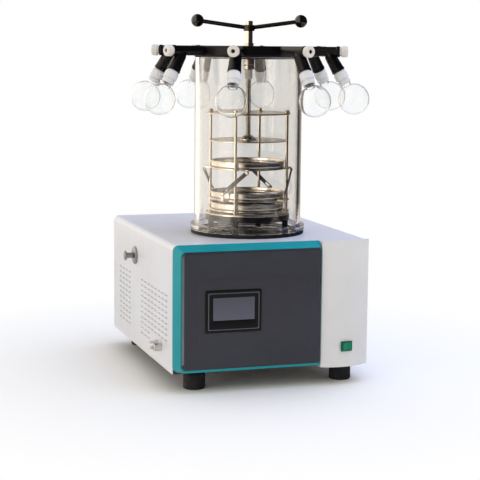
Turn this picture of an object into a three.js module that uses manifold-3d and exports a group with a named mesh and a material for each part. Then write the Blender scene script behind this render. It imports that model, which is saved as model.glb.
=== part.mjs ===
// Bench-top freeze dryer: a refrigerated casing, a clear drying chamber with a stoppering rack,
// and a press lid whose eight radial arms carry flasks.
// Millimetres, +Z up. The front faces -Y. While modelling, x = y = 0 is the chamber's axis and
// z = 0 is the floor; the last lines move the whole group over its own footprint.

import * as THREE from 'three';
import { mergeVertices } from 'three/addons/utils/BufferGeometryUtils.js';
import Module from 'manifold-3d';

const wasm = await Module();
wasm.setup();

// ---- Driving dimensions -------------------------------------------------------------------

const seat = 0.3;                 // gap left between pieces that touch

// Casing
const caseWidth = 540;
const caseHeight = 336;
const caseFront = 212;            // chamber axis to the casing's front plane
const caseBack = 448;             // chamber axis to the casing's back plane
const caseEdgeRadius = 15;
const sheet = 2;                  // folded steel sheet
const panLip = 22;
const footHeight = 50;
const footRadius = 29;
const footInsetLeft = 72;         // foot centre to the casing's left side
const footInsetRight = 57;
const footSetback = 45;           // foot centre to the casing's front or back
const studRadius = 5;
const studLength = 6;
const footShoulder = 9;

// Louvres on the left side, and plain vents on the right
const slotLength = 25;
const slotHeight = 4.5;
const slotPitch = 36.5;
const louvreRows = 11;
const louvreRowPitch = 14.9;
const louvreDrop = 139;           // top row below the casing's top
const frontBankSetback = 50;      // first slot behind the casing's front
const frontBankSlots = 8;
const rearBankSetback = 452;
const rearBankSlots = 4;
const shortRows = 2;              // bottom rows of the front bank that stop short of the drain
const shortRowSlots = 3;
const ventLength = 90;
const ventRows = 6;

// Front bezel, panel, display
const bezelWidth = 398;
const bezelDepth = 27;
const bezelWall = 3;
const bezelCorner = 16;
const bevelLeft = 14;
const bevelRight = 3;
const bevelTop = 14;
const bevelBottom = 12;
const panelTrim = 6;              // bezel edge left bare to the left of the panel
const panelMargin = 1.5;
const panelThickness = 4;
const panelEdge = 0.8;            // small bevel round the panel's face
const panelBevelLeft = 9;         // its broad bevel on the left
const bezelLip = 3;               // straight rim behind the bevels
const bezelLandLeft = 20;         // face left round the bezel's opening
const bezelLand = 12;
const displayWidth = 151;
const displayHeight = 110;
const displayDepth = 5;
const displayCorner = 4;
const displayEdge = 1.5;
const displayFromLeft = 79;       // casing's left side to the display's left edge
const displayDrop = 116;          // display's top edge below the casing's top
const screenWidth = 112;
const screenHeight = 59;
const screenDrop = 19;            // screen's top edge below the display's top edge
const screenThickness = 1.6;
const screenRecess = 1;
const displayBodyDepth = 22;
const bodyMargin = 7;             // display's edge to its box behind the panel

// Switch column
const columnGap = 1;
const columnEdgeLeft = 26;        // how far its left edge stands ahead of the casing
const columnEdgeRight = 6;
const columnBulge = 20;
const columnWall = 3;
const columnBackWall = 5;
const switchWidth = 32;
const switchHeight = 26.5;
const switchX = 197;
const switchDrop = 280;           // switch centre below the casing's top
const switchFrame = 2.2;
const switchCorner = 1.5;
const switchDepth = 16;
const switchFlange = 3;           // thickness of its flange
const switchStand = 1.5;          // flange's back ahead of the curved wall
const switchBodyMargin = 2;       // flange's edge to its body
const switchClearance = 0.5;      // body to the hole in the column
const rockerTilt = 10;            // degrees to each side
const rockerFace = 4;             // pivot to the bottom of the V
const rockerGap = 0.4;

// Valves on the left side
const ventSetback = 392;
const ventDrop = 81;
const ventFlangeRadius = 25;
const ventKnobRadius = 14;
const ventKnobLength = 14;
const ventKnobFlutes = 12;
const ventKnobFlute = 1.6;        // depth of a flute
const ventFlangeThickness = 5;
const ventReach = 18;             // casing to the knob's back
const ventHoleRadius = 11;
const ventNeckRadius = 8;
const ventStemRadius = 4;
const ventStemLength = 9;
const valveNutRadius = 17;
const valveNutLength = 7;
const drainSetback = 112;
const drainLift = 49;             // casing's lower edge to the drain's axis
const drainBodyRadius = 11;
const drainReach = 30;
const drainHoleRadius = 9;
const drainBore = 3;
const drainBarb = 5.5;
const drainPost = 13.5;           // casing to the lever's pivot
const drainPostRadius = 3.5;
const leverLength = 18;
const leverEye = 7;
const leverGrip = 4.5;
const leverThickness = 6;

// Back
const portRadius = 14;
const portFlangeRadius = 20;
const portReach = 26;
const portWall = 2;
const portX = -120;
const portHeight = 215;
const inletWidth = 50;
const inletHeight = 28;
const inletDepth = 22;
const inletFlange = 3;
const inletBodyMargin = 4;
const inletWellMargin = 7;
const inletWellDepth = 16;
const inletPinPitch = 8;
const inletX = 160;
const inletLift = 62;

// Cold trap and its flange on the casing's top
const trapRadius = 96.5;
const trapWall = 1.5;
const trapDepth = 180;
const trapFlangeRadius = 128;
const trapFlangeThickness = 3;

// Refrigeration
const compressorRadius = 76;
const compressorHeight = 178;
const compressorX = 60;
const compressorSeam = 3;         // step at the can's weld, half way up
const compressorPlate = 6;
const compressorPlateMargin = 8;
const compressorTopRadius = 31;
const terminalBox = [39, 44, 52]; // depth, width, height
const terminalBoxLow = 60;
const compressorY = 300;
const condenserX = -235;          // outer face
const condenserY = -28;
const condenserLength = 250;
const condenserHeight = 220;
const condenserDepth = 40;
const condenserEnd = 16;          // solid header above and below the fins
const condenserPitch = 15;
const finThickness = 3;
const fanRadius = 92;
const fanRingDepth = 26;
const fanBlades = 5;
const fanHubRadius = 18;
const fanHubLength = 17;
const bladeThickness = 2;
const bladePitch = 18;            // degrees
const motorRadius = 24;
const motorLength = 20;
const motorShaftRadius = 4;

// Chamber
const cylinderRadius = 145;
const cylinderWall = 10;
const cylinderHeight = 470;
const chamberFlangeRadius = 156;
const chamberFlangeHeight = 20;
const gasketThickness = 4.7;
const gasketWidth = 20;
const lidGasketThickness = 3;

// Lid, arms and flasks
const lidThickness = 26;
const lidOverhang = 5;
const lidSpigot = 8;
const ports = 8;
const portPhase = 243;            // first arm, degrees from +X
const armRadius = 13;
const armReach = 246;
const neckReach = 221;
const neckTilt = 30;              // degrees outward from straight down
const neckRadius = 15.5;
const neckFlare = 2.5;
const neckLength = 46;
const nippleRadius = 9.6;
const nippleLength = 18;
const knobStemRadius = 5;
const knobStemLength = 10;
const knobRadius = 15;
const knobSkirt = 12;
const knobSkirtLength = 4;
const knobLength = 21;
const knobChamfer = 3;
const knobWell = 5;               // radius of the well in its face
const knobWellDepth = 7;
const collarRadius = 18;
const collarLength = 37;
const flaskNeckRadius = 13;
const bulbDrop = 46;              // collar's lower end to the bulb's centre
const bulbRadius = 42;
const glassWall = 2;

// Press
const spindleRadius = 6;
const shaftRadius = 10;           // the smooth upper part that the gland seals on
const spindleTop = 67;            // above the lid
const glandRadius = 15.5;
const glandStem = 12.7;
const glandDrop = 38;             // gland's lower end below the lid
const glandRise = 8;
const threadLength = 22;
const runningGap = 0.3;
const pressRadius = 107;
const pressThickness = 3;
const pressHeight = 250;          // underside above the casing's top
const pressFoot = 12;
const pressFootRadius = 22;
const pressFootTop = 9;
const hubRadius = 15;
const hubLength = 16;
const hubDrop = 19;               // hub centre below the spindle's top
const armRodRadius = 5.5;
const ballRadius = 17.5;
const ballReach = 139;
const ballRise = 19;
const handleTurn = -18;           // degrees

// Rack
const rackPhase = 234.5;          // first rod, degrees from +X
const rods = 4;
const rodRadius = 4;
const rodCircle = 108.5;
const baseLift = 37;              // underside of the base ring above the casing's top
const baseThickness = 15.4;
const baseOuter = 115;
const baseInner = 92;
const baseFootRadius = 8;
const rackPlateThickness = 5;
const rackPlateMargin = 5.5;
const rackPlateInner = 84;
const topPlateRadius = 115;
const topPlateHeight = 323;
const topPlateThickness = 4;
const topPlateBore = 9;
const nutRadius = 7;
const nutHeight = 6;
const shelfRadius = 102;
const shelfThickness = 2;
const shelfHem = 5;
const shelfHeights = [175.5, 92, 62.3];
const earReach = 116;             // chamber axis to the outer end of an ear round a rod
const earWidth = 16;
const trayRadius = 101;
const trayHeight = 17;
const trayWall = 1.5;

// Links that carry the upper shelf over the middle one
const linkRun = 66;               // between a link's two pins, sideways
const linkDrop = 58;              // between a link's two pins, downwards
const linkTravel = 30;            // how far the upper shelf comes down
const linkWidth = 10.5;
const linkThickness = 2;
const linkPlane = 113.8;          // chamber axis to the links' inner face
const linkSlotWidth = 6.4;
const pinRadius = 1.5;
const pinHead = 4;
const pinHeadThickness = 1.5;
const pinDrop = 3.5;              // upper pin below the shelf's hem
const lugWidth = 9;
const lugThickness = 2.5;
const lugRoot = 92;               // chamber axis to the inner end of a lug

// Facets round a full turn, by the size of the piece
const roundLarge = 36;
const roundMedium = 24;
const roundSmall = 14;
const roundFlask = 12;
const roundTiny = 10;

// ---- Places worked out from the sizes ------------------------------------------------------

const caseTop = footHeight + caseHeight;
const drainDrop = caseHeight - drainLift;
const caseLeft = -caseWidth / 2;
const caseRight = caseWidth / 2;
const chamberFloor = caseTop + seat + gasketThickness + seat;
const chamberTop = chamberFloor + cylinderHeight;
const lidUnder = chamberTop + 2 * seat + lidGasketThickness;
const lidTop = lidUnder + lidThickness;
const armHeight = lidUnder + lidThickness / 2;
const bezelFace = -caseFront - seat - bezelDepth;
const degrees = Math.PI / 180;

// ---- Materials ------------------------------------------------------------------------------

function finish(color, roughness, metalness = 0, extra = {}) {
  return new THREE.MeshStandardMaterial({ color, roughness, metalness, ...extra });
}

const whitePaint = () => finish(0xe6e5e3, 0.45);
const greyPaint = () => finish(0x9da1a5, 0.5, 0.2);
const teal = () => finish(0x1f9aa0, 0.4);
const charcoal = () => finish(0x3b3d46, 0.5);
const blackPlastic = () => finish(0x16171a, 0.35);
const screenGlass = () => finish(0x5c5e70, 0.2);
const greenPlastic = () => finish(0x1f8060, 0.35);
const blackRubber = () => finish(0x151515, 0.8);
const steel = () => finish(0xc9c8c2, 0.28, 1);
const chrome = () => finish(0xdadde0, 0.12, 1);
const darkSteel = () => finish(0x3a3836, 0.4, 1);
const aluminium = () => finish(0xc3c6c9, 0.4, 1);
const blackEnamel = () => finish(0x202225, 0.5, 0.1);
const whitePlastic = () => finish(0xefeae0, 0.4);
const acrylic = () => finish(0xeef4f4, 0.05, 0, { transparent: true, opacity: 0.3 });
const flaskGlass = () => finish(0xe9f0f2, 0.05, 0, { transparent: true, opacity: 0.4 });

// ---- Solids ---------------------------------------------------------------------------------

// A closed three.js geometry as a solid that can be joined and cut.
function solid(geometry) {
  const bare = geometry.clone();
  bare.deleteAttribute('normal');
  bare.deleteAttribute('uv');
  const welded = mergeVertices(bare, 1e-4);
  const index = welded.index.array;
  const triangles = [];
  for (let i = 0; i < index.length; i += 3) {
    const [a, b, c] = [index[i], index[i + 1], index[i + 2]];
    if (a !== b && b !== c && c !== a) triangles.push(a, b, c);
  }
  const vertProperties = new Float32Array(welded.attributes.position.array);
  const triVerts = new Uint32Array(triangles);
  return new wasm.Manifold(new wasm.Mesh({ numProp: 3, vertProperties, triVerts }));
}

function geometryOf(body) {
  const { vertProperties, triVerts } = body.getMesh();
  const geometry = new THREE.BufferGeometry();
  geometry.setAttribute('position', new THREE.BufferAttribute(vertProperties, 3));
  geometry.setIndex(new THREE.BufferAttribute(triVerts, 1));
  geometry.computeVertexNormals();
  return geometry;
}

const join = (first, ...rest) => rest.reduce((sum, next) => sum.add(next), first);
const cut = (first, ...rest) => rest.reduce((left, next) => left.subtract(next), first);

// A solid turned about Z from [radius, height] points, listed upwards on its outside.
function turned(profile, segments = roundMedium) {
  const points = profile.map(([r, z]) => new THREE.Vector2(r, z));
  return new THREE.LatheGeometry(points, segments).rotateX(Math.PI / 2);
}

// A round ring turned about Z.
function ring(inner, outer, low, high, segments = roundLarge) {
  return turned([[inner, low], [outer, low], [outer, high], [inner, high], [inner, low]], segments);
}

function disc(radius, low, high, segments = roundMedium) {
  return new THREE.CylinderGeometry(radius, radius, high - low, segments)
    .rotateX(Math.PI / 2)
    .translate(0, 0, (low + high) / 2);
}

function block(low, high) {
  const size = high.map((value, axis) => value - low[axis]);
  const centre = high.map((value, axis) => (value + low[axis]) / 2);
  return new THREE.BoxGeometry(...size).translate(...centre);
}

function prism(shapes, depth, curveSegments = 6) {
  return new THREE.ExtrudeGeometry(shapes, { depth, bevelEnabled: false, curveSegments });
}

// Turns a prism so that its outline stands in the XZ plane and its depth runs towards -Y.
const facingFront = (geometry) => geometry.rotateX(Math.PI / 2);

// Turns a solid made along +Z so that it points towards +X.
const facingRight = (geometry) => geometry.rotateY(Math.PI / 2);

function box2(left, right, bottom, top, radius = 0) {
  const shape = new THREE.Shape();
  if (radius === 0) {
    shape.moveTo(left, bottom).lineTo(right, bottom).lineTo(right, top).lineTo(left, top);
    return shape;
  }
  shape.moveTo(left + radius, bottom);
  shape.lineTo(right - radius, bottom);
  shape.absarc(right - radius, bottom + radius, radius, -Math.PI / 2, 0);
  shape.lineTo(right, top - radius);
  shape.absarc(right - radius, top - radius, radius, 0, Math.PI / 2);
  shape.lineTo(left + radius, top);
  shape.absarc(left + radius, top - radius, radius, Math.PI / 2, Math.PI);
  shape.lineTo(left, bottom + radius);
  shape.absarc(left + radius, bottom + radius, radius, Math.PI, 1.5 * Math.PI);
  return shape;
}

function circle2(x, y, radius) {
  const path = new THREE.Shape();
  path.absarc(x, y, radius, 0, 2 * Math.PI);
  return path;
}

// An outline's points at height z, without the doubled last one.
function outlineAt(shape, z, divisions = 3) {
  const points = shape.getPoints(divisions).map((p) => new THREE.Vector3(p.x, p.y, z));
  if (points[0].distanceTo(points[points.length - 1]) < 1e-6) points.pop();
  return points;
}

// A closed solid through outlines with equally many points, in rising order.
function loft(outlines) {
  const count = outlines[0].length;
  const index = [];
  for (let k = 0; k + 1 < outlines.length; k += 1) {
    for (let i = 0; i < count; i += 1) {
      const a = k * count + i;
      const b = k * count + (i + 1) % count;
      index.push(a, b, b + count, a, b + count, a + count);
    }
  }
  const last = (outlines.length - 1) * count;
  for (let i = 1; i + 1 < count; i += 1) {
    index.push(0, i + 1, i, last, last + i, last + i + 1);
  }
  const geometry = new THREE.BufferGeometry().setFromPoints(outlines.flat());
  geometry.setIndex(index);
  geometry.computeVertexNormals();
  return geometry;
}

// ---- The group --------------------------------------------------------------------------------

const dryer = new THREE.Group();

function add(name, shape, material, parent = dryer) {
  const geometry = shape.isBufferGeometry ? shape : geometryOf(shape);
  const mesh = new THREE.Mesh(geometry, material);
  mesh.name = name;
  parent.add(mesh);
  return mesh;
}

function groupAt(x, y, z, turn = 0) {
  const group = new THREE.Group();
  group.position.set(x, y, z);
  group.rotation.z = turn * degrees;
  dryer.add(group);
  return group;
}

// ---- Casing -----------------------------------------------------------------------------------

// The casing's arched outline, shrunk by a margin on its three upper sides.
function archOutline(margin, bottom) {
  const left = caseLeft + margin;
  const right = caseRight - margin;
  const top = caseHeight - margin;
  const radius = Math.max(caseEdgeRadius - margin, 1);
  const shape = new THREE.Shape();
  shape.moveTo(left, bottom);
  shape.lineTo(right, bottom);
  shape.lineTo(right, top - radius);
  shape.absarc(right - radius, top - radius, radius, 0, Math.PI / 2);
  shape.lineTo(left + radius, top);
  shape.absarc(left + radius, top - radius, radius, Math.PI / 2, Math.PI);
  return shape;
}

// Rows of slots as upright outlines: x is the distance behind the casing's front.
function slotRows(first, slots, pitch, length, rows, skip) {
  const outlines = [];
  for (let row = 0; row < rows; row += 1) {
    const z = caseTop - louvreDrop - row * louvreRowPitch;
    for (let slot = skip(row); slot < slots; slot += 1) {
      const start = first + slot * pitch;
      outlines.push(box2(start, start + length, z - slotHeight / 2, z + slotHeight / 2));
    }
  }
  return outlines;
}

// Stands outlines drawn as (distance behind the front, height) in a side wall.
function throughSide(outlines, x) {
  return prism(outlines, sheet * 3)
    .rotateX(Math.PI / 2)
    .rotateZ(Math.PI / 2)
    .translate(x - sheet * 1.5, -caseFront, 0);
}

function cabinetCover() {
  const depth = caseFront + caseBack;
  const outside = facingFront(prism(archOutline(0, 0), depth)).translate(0, caseBack, footHeight);
  const inside = facingFront(prism(archOutline(sheet, -1), depth + 2));
  inside.translate(0, caseBack + 1, footHeight);
  const frontSkip = (row) => (row >= louvreRows - shortRows ? frontBankSlots - shortRowSlots : 0);
  const frontBank = slotRows(frontBankSetback, frontBankSlots, slotPitch, slotLength, louvreRows, frontSkip);
  const rearBank = slotRows(rearBankSetback, rearBankSlots, slotPitch, slotLength, louvreRows, () => 0);
  const ventPitch = ventLength + slotPitch - slotLength;
  const vents = slotRows(rearBankSetback - ventPitch, 2, ventPitch, ventLength, ventRows, () => 0);
  const ventHole = circle2(ventSetback, caseTop - ventDrop, ventHoleRadius);
  const drainHole = circle2(drainSetback, caseTop - drainDrop, drainHoleRadius);
  const left = throughSide([...frontBank, ...rearBank, ventHole, drainHole], caseLeft + sheet / 2);
  const right = throughSide(vents, caseRight - sheet / 2);
  const mouth = disc(trapRadius + trapWall + 1, caseTop - 3 * sheet, caseTop + sheet, roundLarge);
  return cut(solid(outside), solid(inside), solid(left), solid(right), solid(mouth));
}

function footPlaces() {
  const places = [];
  for (const [end, y] of [['front', -caseFront + footSetback], ['rear', caseBack - footSetback]]) {
    places.push([`foot_${end}_left`, caseLeft + footInsetLeft, y]);
    places.push([`foot_${end}_right`, caseRight - footInsetRight, y]);
  }
  return places;
}

function basePan() {
  const margin = sheet + seat;
  const left = caseLeft + margin;
  const right = caseRight - margin;
  const front = -caseFront + seat;
  const back = caseBack - sheet - seat;
  const tray = block([left, front, footHeight], [right, back, footHeight + panLip]);
  const hollow = block(
    [left + sheet, front + sheet, footHeight + sheet],
    [right - sheet, back - sheet, footHeight + panLip + 1],
  );
  const holes = footPlaces().map(([, x, y]) =>
    solid(disc(studRadius + seat, footHeight - 1, footHeight + 2 * sheet, roundTiny).translate(x, y, 0)));
  return cut(solid(tray), solid(hollow), ...holes);
}

// A moulded rubber foot with a rounded shoulder and a stud that stands in the pan.
function foot() {
  const top = footHeight - seat;
  const profile = [[0, 0], [footRadius - 2, 0], [footRadius, 3]];
  for (let step = 0; step <= 2; step += 1) {
    const angle = (step / 2) * (Math.PI / 2);
    profile.push([
      footRadius - footShoulder * (1 - Math.cos(angle)),
      top - footShoulder * (1 - Math.sin(angle)),
    ]);
  }
  profile.push([studRadius, top], [studRadius, top + studLength], [0, top + studLength]);
  return turned(profile, roundSmall);
}

function rearPanel() {
  const margin = sheet + seat;
  const plate = facingFront(prism(archOutline(margin, 0), sheet)).translate(0, caseBack, footHeight);
  const port = facingFront(prism(circle2(portX, footHeight + portHeight, portRadius + 1), 4 * sheet));
  const inlet = box2(
    inletX - inletWidth / 2 + inletBodyMargin - seat,
    inletX + inletWidth / 2 - inletBodyMargin + seat,
    footHeight + inletLift - inletHeight / 2 + inletBodyMargin - seat,
    footHeight + inletLift + inletHeight / 2 - inletBodyMargin + seat,
  );
  const window = facingFront(prism(inlet, 4 * sheet));
  const reach = caseBack + 2 * sheet;
  return cut(solid(plate), solid(port.translate(0, reach, 0)), solid(window.translate(0, reach, 0)));
}

add('cabinet_cover', cabinetCover(), whitePaint());
add('base_pan', basePan(), greyPaint());
add('rear_panel', rearPanel(), whitePaint());
for (const [name, x, y] of footPlaces()) {
  add(name, foot(), blackRubber()).position.set(x, y, 0);
}

// ---- Front bezel, panel and display -----------------------------------------------------------

const bezelRight = caseLeft + bezelWidth;
const faceLeft = caseLeft + bevelLeft;
const faceRight = bezelRight - bevelRight;
const faceTop = caseTop - bevelTop;
const faceBottom = footHeight + bevelBottom;

// The bevelled moulding: a hollow loft from the casing's outline to the smaller front face.
function frontBezel() {
  const back = box2(caseLeft, bezelRight, footHeight, caseTop, bezelCorner);
  const face = box2(faceLeft, faceRight, faceBottom, faceTop, bezelCorner - 2);
  const outside = loft([outlineAt(back, 0), outlineAt(back, bezelLip), outlineAt(face, bezelDepth)]);
  const wall = bezelWall;
  const innerBack = box2(
    caseLeft + wall, bezelRight - wall, footHeight + wall, caseTop - wall, bezelCorner - wall);
  const innerFace = box2(
    faceLeft + wall, faceRight - wall, faceBottom + wall, faceTop - wall, bezelCorner - wall - 1);
  const depth = bezelDepth - wall;
  const inside = loft([
    outlineAt(innerBack, -1), outlineAt(innerBack, bezelLip), outlineAt(innerFace, depth),
  ]);
  const opening = box2(
    faceLeft + bezelLandLeft, faceRight - bezelLand, faceBottom + bezelLand, faceTop - bezelLand,
    bezelCorner);
  const window = prism(opening, 4 * wall).translate(0, 0, bezelDepth - 2 * wall);
  const place = (geometry) => solid(facingFront(geometry).translate(0, -caseFront - seat, 0));
  return cut(place(outside), place(inside), place(window));
}

const displayLeft = caseLeft + displayFromLeft;
const displayTop = caseTop - displayDrop;
const displayBottom = displayTop - displayHeight;
const displayRight = displayLeft + displayWidth;

function displayBodyOutline(gap) {
  return box2(
    displayLeft + bodyMargin - gap,
    displayRight - bodyMargin + gap,
    displayBottom + bodyMargin - gap,
    displayTop - bodyMargin + gap,
  );
}

function frontPanel() {
  const outline = (bevel, inset) => box2(
    faceLeft + panelTrim + bevel, faceRight - panelMargin - inset,
    faceBottom + panelMargin + inset, faceTop - panelMargin - inset, bezelCorner - bezelLip);
  const plate = loft([
    outlineAt(outline(0, 0), 0),
    outlineAt(outline(0, 0), panelEdge),
    outlineAt(outline(panelBevelLeft, panelEdge), panelThickness),
  ]);
  const window = prism(displayBodyOutline(1), 3 * panelThickness).translate(0, 0, -panelThickness);
  const place = (geometry) => solid(facingFront(geometry).translate(0, bezelFace - seat, 0));
  return cut(place(plate), place(window));
}

const panelFace = bezelFace - seat - panelThickness;
const screenTop = displayTop - screenDrop;
const screenLeft = displayLeft + (displayWidth - screenWidth) / 2;

function screenOutline(gap) {
  return box2(
    screenLeft - gap, screenLeft + screenWidth + gap, screenTop - screenHeight - gap, screenTop + gap);
}

// The display's frame, with its box behind the panel and a pocket for the screen.
function displayBezel() {
  const outline = (inset) => box2(displayLeft + inset, displayRight - inset, displayBottom + inset,
    displayTop - inset, displayCorner);
  const frame = loft([
    outlineAt(outline(0), 0),
    outlineAt(outline(0), displayDepth - displayEdge),
    outlineAt(outline(displayEdge), displayDepth),
  ]);
  const body = prism(displayBodyOutline(0), displayBodyDepth + 1).translate(0, 0, -displayBodyDepth);
  const pocket = prism(screenOutline(seat), displayDepth);
  pocket.translate(0, 0, displayDepth - screenThickness - screenRecess);
  const place = (geometry) => solid(facingFront(geometry).translate(0, panelFace - seat, 0));
  return cut(join(place(frame), place(body)), place(pocket));
}

function displayScreen() {
  const back = panelFace - seat - displayDepth + screenThickness + screenRecess - seat;
  return facingFront(prism(screenOutline(0), screenThickness)).translate(0, back, 0);
}

add('front_bezel', frontBezel(), teal());
add('front_panel', frontPanel(), charcoal());
add('display_bezel', displayBezel(), blackPlastic());
add('display_screen', displayScreen(), screenGlass());

// ---- Switch column ------------------------------------------------------------------------------

// The column's front is one arc between its two edges, seen from above.
const columnLeft = bezelRight + columnGap;
const columnChord = new THREE.Vector2(caseRight - columnLeft, columnEdgeLeft - columnEdgeRight);
const columnArcRadius = (columnChord.lengthSq() / 4 + columnBulge ** 2) / (2 * columnBulge);
const columnArcCentre = (() => {
  const along = columnChord.clone().normalize();
  const inward = new THREE.Vector2(-along.y, along.x);
  const middle = new THREE.Vector2(
    (columnLeft + caseRight) / 2, -caseFront - (columnEdgeLeft + columnEdgeRight) / 2);
  return middle.addScaledVector(inward, columnArcRadius - columnBulge);
})();

function columnOutline(inset, back) {
  const shape = new THREE.Shape();
  const left = columnLeft + inset;
  const right = caseRight - inset;
  const radius = columnArcRadius - inset;
  const angleAt = (x) => -Math.acos((x - columnArcCentre.x) / radius);
  const soften = 4;
  shape.moveTo(right, back);
  shape.lineTo(left, back);
  const start = angleAt(left + soften);
  const startY = columnArcCentre.y + radius * Math.sin(start);
  shape.lineTo(left, startY + soften);
  shape.quadraticCurveTo(left, startY, left + soften, startY);
  shape.absarc(columnArcCentre.x, columnArcCentre.y, radius, start, angleAt(right - soften));
  const endY = columnArcCentre.y + radius * Math.sin(angleAt(right - soften));
  shape.quadraticCurveTo(right, endY + soften / 2, right, endY + 1.5 * soften);
  return shape;
}

// Where the switch sits: on the arc, turned to face along the arc's own radius.
const switchAngle = Math.asin((switchX - columnArcCentre.x) / columnArcRadius);
const switchY = columnArcCentre.y - columnArcRadius * Math.cos(switchAngle);
const switchZ = caseTop - switchDrop;

function atSwitch(geometry) {
  return geometry.rotateX(Math.PI / 2).rotateZ(switchAngle).translate(switchX, switchY, switchZ);
}

const rect = (width, height, radius = 0) => box2(-width / 2, width / 2, -height / 2, height / 2, radius);

function switchColumn() {
  const back = -caseFront - seat;
  const outside = prism(columnOutline(0, back), caseHeight, 10).translate(0, 0, footHeight);
  const inside = prism(columnOutline(columnWall, back + columnBackWall), caseHeight - 2 * columnWall, 10);
  const margin = 2 * (switchBodyMargin - switchClearance);
  const holeOutline = rect(switchWidth - margin, switchHeight - margin);
  inside.translate(0, 0, footHeight + columnWall);
  const hole = prism(holeOutline, 2 * switchDepth).translate(0, 0, -switchDepth);
  return cut(solid(outside), solid(inside), solid(atSwitch(hole)));
}

const wellWidth = switchWidth - 2 * switchFrame;
const wellHeight = switchHeight - 2 * switchFrame;

function switchHousing() {
  const flange = prism(rect(switchWidth, switchHeight, switchCorner), switchFlange);
  const margin = 2 * switchBodyMargin;
  const body = prism(rect(switchWidth - margin, switchHeight - margin), switchDepth + 2);
  body.translate(0, 0, switchFrame - switchDepth);
  const well = prism(rect(wellWidth, wellHeight - 2 * seat), switchDepth).translate(0, 0, -switchDepth / 2);
  flange.translate(0, 0, switchStand);
  return cut(join(solid(flange), solid(body)), solid(well));
}

// The rocker in plan: round ends about its pivot and a shallow V face.
function powerRocker() {
  const radius = wellWidth / 2 - rockerGap;
  const tilt = rockerTilt * degrees;
  const end = tilt + Math.asin((rockerFace * Math.cos(tilt)) / radius);
  const shape = new THREE.Shape();
  shape.moveTo(0, rockerFace);
  shape.lineTo(-radius * Math.cos(end), radius * Math.sin(end));
  shape.absarc(0, 0, radius, Math.PI - end, Math.PI + end);
  shape.absarc(0, 0, radius, -end, end);
  const height = wellHeight - 4 * rockerGap;
  return prism(shape, height).rotateX(Math.PI / 2).translate(0, height / 2, 0);
}

add('switch_column', switchColumn(), whitePaint());
const switchMount = new THREE.Group();
switchMount.position.set(switchX, switchY, switchZ);
switchMount.rotation.set(Math.PI / 2, 0, switchAngle, 'ZYX');
dryer.add(switchMount);
add('switch_housing', switchHousing(), blackPlastic(), switchMount);
const rocker = add('power_rocker', powerRocker(), greenPlastic(), switchMount);
rocker.rotation.y = rockerTilt * degrees;
rocker.position.z = 1;

// ---- Valves on the left side -------------------------------------------------------------------

// A group on the left wall whose +Z points out of the wall and whose +X points up.
function onLeftWall(setback, drop) {
  const place = groupAt(caseLeft, setback - caseFront, caseTop - drop);
  place.rotation.set(0, -Math.PI / 2, 0);
  return place;
}

// The vent valve: nut and thread inside, flange on the casing, neck and stem outside.
function ventValveBody() {
  const thread = ventHoleRadius - 2 * seat;
  const nutFace = -sheet - seat;
  const neckEnd = ventReach - seat;
  return turned([
    [0, nutFace - valveNutLength], [valveNutRadius, nutFace - valveNutLength],
    [valveNutRadius, nutFace], [thread, nutFace], [thread, seat], [ventFlangeRadius, seat],
    [ventFlangeRadius, ventFlangeThickness], [ventFlangeRadius - 2, ventFlangeThickness + 1.5],
    [ventNeckRadius, ventFlangeThickness + 3],
    [ventNeckRadius, neckEnd], [ventStemRadius, neckEnd],
    [ventStemRadius, ventReach + ventStemLength], [0, ventReach + ventStemLength],
  ], roundSmall);
}

// The fluted knob, with a blind bore for the stem.
function ventValveKnob() {
  const root = ventKnobRadius - ventKnobFlute;
  const shape = new THREE.Shape();
  for (let i = 0; i < ventKnobFlutes; i += 1) {
    for (const [part, radius] of [[0, ventKnobRadius], [0.5, ventKnobRadius], [0.75, root]]) {
      const angle = ((i + part) / ventKnobFlutes) * 2 * Math.PI;
      const [x, y] = [radius * Math.cos(angle), radius * Math.sin(angle)];
      if (i === 0 && part === 0) shape.moveTo(x, y);
      else shape.lineTo(x, y);
    }
  }
  const bore = disc(ventStemRadius + seat, -1, ventStemLength + seat, roundTiny);
  return cut(solid(prism(shape, ventKnobLength)), solid(bore)).translate([0, 0, ventReach]);
}

// The drain valve: nut inside, body and hose barb outside, and a post for the lever on top.
function drainValveBody() {
  const thread = drainHoleRadius - 2 * seat;
  const nutFace = -sheet - seat;
  const shoulder = drainBodyRadius - 3;
  const body = turned([
    [drainBore, nutFace - valveNutLength], [portRadius, nutFace - valveNutLength],
    [portRadius, nutFace], [thread, nutFace], [thread, seat], [drainBodyRadius, seat],
    [drainBodyRadius, drainReach - 10], [shoulder, drainReach - 8], [drainBarb - 1, drainReach - 8],
    [drainBarb, drainReach - 5], [drainBarb - 1.5, drainReach], [drainBore, drainReach],
    [drainBore, nutFace - valveNutLength],
  ], roundTiny);
  const postTop = drainBodyRadius + leverThickness + 3;
  const post = facingRight(disc(drainPostRadius, shoulder, postTop, 8)).translate(0, 0, drainPost);
  return join(solid(body), solid(post));
}

// The lever: an eye round the post and a flat grip.
function drainValveLever() {
  const shape = new THREE.Shape();
  shape.absarc(0, 0, leverEye, 0.5 * Math.PI, 1.5 * Math.PI);
  shape.absarc(leverLength - leverGrip, 0, leverGrip, -0.5 * Math.PI, 0.5 * Math.PI);
  shape.holes.push(circle2(0, 0, drainPostRadius + seat));
  return prism(shape, leverThickness, 5).translate(0, 0, drainBodyRadius + 1);
}

const ventPlace = onLeftWall(ventSetback, ventDrop);
add('vent_valve_body', ventValveBody(), chrome(), ventPlace);
add('vent_valve_knob', ventValveKnob(), darkSteel(), ventPlace);

const drainPlace = onLeftWall(drainSetback, drainDrop);
add('drain_valve_body', drainValveBody(), chrome(), drainPlace);
const lever = add('drain_valve_lever', drainValveLever(), blackPlastic(), drainPlace);
lever.position.set(0, 0, drainPost);
lever.rotation.set(0, Math.PI / 2, Math.PI);

// ---- Back: vacuum port and mains inlet ----------------------------------------------------------

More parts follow.
